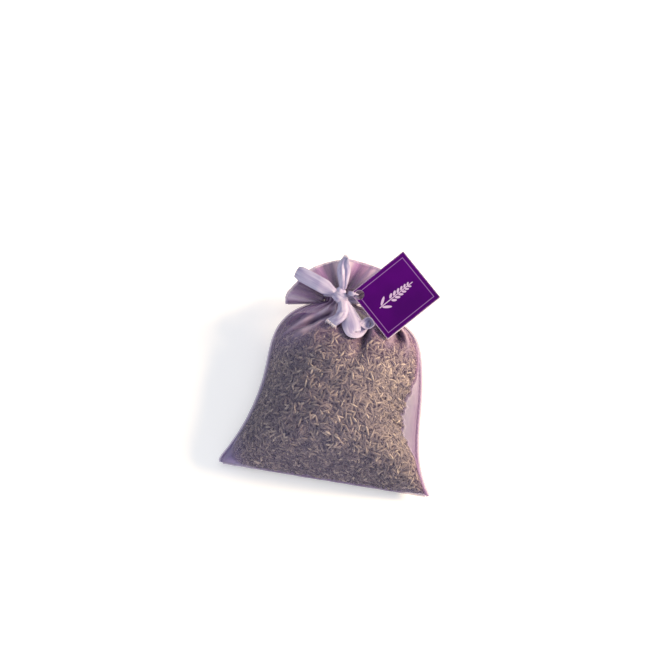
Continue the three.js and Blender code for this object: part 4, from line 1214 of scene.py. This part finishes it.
stock = card.mix(fibre.step(0.3, 0.7), srgb(226, 216, 228), srgb(240, 234, 240))
inked = card.attribute("inked")
card.set(Base_Color=card.mix(inked, stock, ink), Roughness=0.42 + 0.25 * fibre,
         Normal=card.bump(fibre, 0.00003))
print("card:", len(card.tree.nodes), "nodes")

# %% [markdown]
# A card is cut, punched and folded. Each leaf starts as an outline with a hole, is filled, cut into strips so
# that it can curl a little, thickened and given a fine round on its edges. The front leaf turns on the fold,
# which the frame has as a hinge, so each leaf is made flat round its hole and then laid in place.

# %% Leaves of the tag
LEAF_STRIPS, HOLE_SIDES, EDGE_ROUND, BACK_DROP, FRONT_CURL = 16, 40, 0.06, -0.55, 0.5
HOLE = np.array(joints["tag_swing"]["pos_m"]) / MM
TAG_Z = np.array(joints["tag_swing"]["axis"])
TAG_Y = -np.array(joints["tag_open"]["axis"])
TAG_X = np.cross(TAG_Y, TAG_Z)
HINGE = np.array(joints["tag_open"]["pos_m"]) / MM


def leaf(name, body, node, bottom, outside, curl, place):
    """A leaf with the hole at the origin. outside is the side that is printed."""
    left, top_edge = -TAG_HOLE_FROM_SPINE, TAG_HOLE_FROM_TOP
    bm = bmesh.new()
    bmesh.ops.create_circle(bm, segments=HOLE_SIDES, radius=TAG_HOLE_RADIUS)
    corners = [bm.verts.new((left + dx, top_edge - dy, 0)) for dx, dy in
               ((0, 0), (TAG_WIDTH, 0), (TAG_WIDTH, TAG_HEIGHT), (0, TAG_HEIGHT))]
    for k in range(4):
        bm.edges.new((corners[k - 1], corners[k]))
    bmesh.ops.triangle_fill(bm, edges=bm.edges, use_beauty=True)
    for k in range(1, LEAF_STRIPS):
        for cut, normal in (((left + TAG_WIDTH * k / LEAF_STRIPS, 0, 0), (1, 0, 0)),
                            ((0, top_edge - TAG_HEIGHT * k / LEAF_STRIPS, 0), (0, 1, 0))):
            everything = bm.verts[:] + bm.edges[:] + bm.faces[:]
            bmesh.ops.bisect_plane(bm, geom=everything, plane_co=cut, plane_no=normal)
    walls = bmesh.ops.extrude_face_region(bm, geom=bm.faces[:])["geom"]
    bmesh.ops.translate(bm, verts=[g for g in walls if isinstance(g, bmesh.types.BMVert)],
                        vec=(0, 0, TAG_THICKNESS))
    bmesh.ops.recalc_face_normals(bm, faces=bm.faces)
    outward(bm)
    sharp = [e for e in bm.edges if len(e.link_faces) == 2 and e.calc_face_angle() > 1]
    bmesh.ops.bevel(bm, geom=sharp, offset=EDGE_ROUND, affect="EDGES", segments=2, profile=0.5, material=-1)
    uv, printed = bm.loops.layers.uv.new("print"), bm.faces.layers.float.new("inked")
    for face in bm.faces:
        face[printed] = float(face.normal.z * outside > 0.8)
        for loop in face.loops:
            loop[uv].uv = ((loop.vert.co.x - left) / TAG_WIDTH, (loop.vert.co.y - top_edge) / TAG_HEIGHT + 1)
    for v in bm.verts:
        far = (v.co.x - left) / TAG_WIDTH
        v.co.z += bottom + curl * far ** 2 * (0.4 + 0.6 * (top_edge - v.co.y) / TAG_HEIGHT)
        v.co = place(v.co)
    return in_frame(finished(name, bm, card.material, smooth=False), body, "card", node)


def back_place(co):
    return Vector((HOLE + TAG_X * co.x + TAG_Y * co.y + TAG_Z * co.z) * MM)


def front_place(co):
    run = co.x + TAG_HOLE_FROM_SPINE
    x = run * math.cos(TAG_OPEN) - co.z * math.sin(TAG_OPEN)
    z = run * math.sin(TAG_OPEN) + co.z * math.cos(TAG_OPEN)
    spine = HINGE + TAG_Y * (np.dot(HOLE - HINGE, TAG_Y) + co.y)
    return Vector((spine + TAG_X * x + TAG_Z * z) * MM)


back_leaf = leaf("tag_back_card", "tag_back", "tag_back_leaf", BACK_DROP, -1, 0.0, back_place)
front_leaf = leaf("tag_front_card", "tag_front", "tag_front_leaf", 0.0, 1, FRONT_CURL, front_place)
print("leaf faces:", len(back_leaf.data.polygons), len(front_leaf.data.polygons))
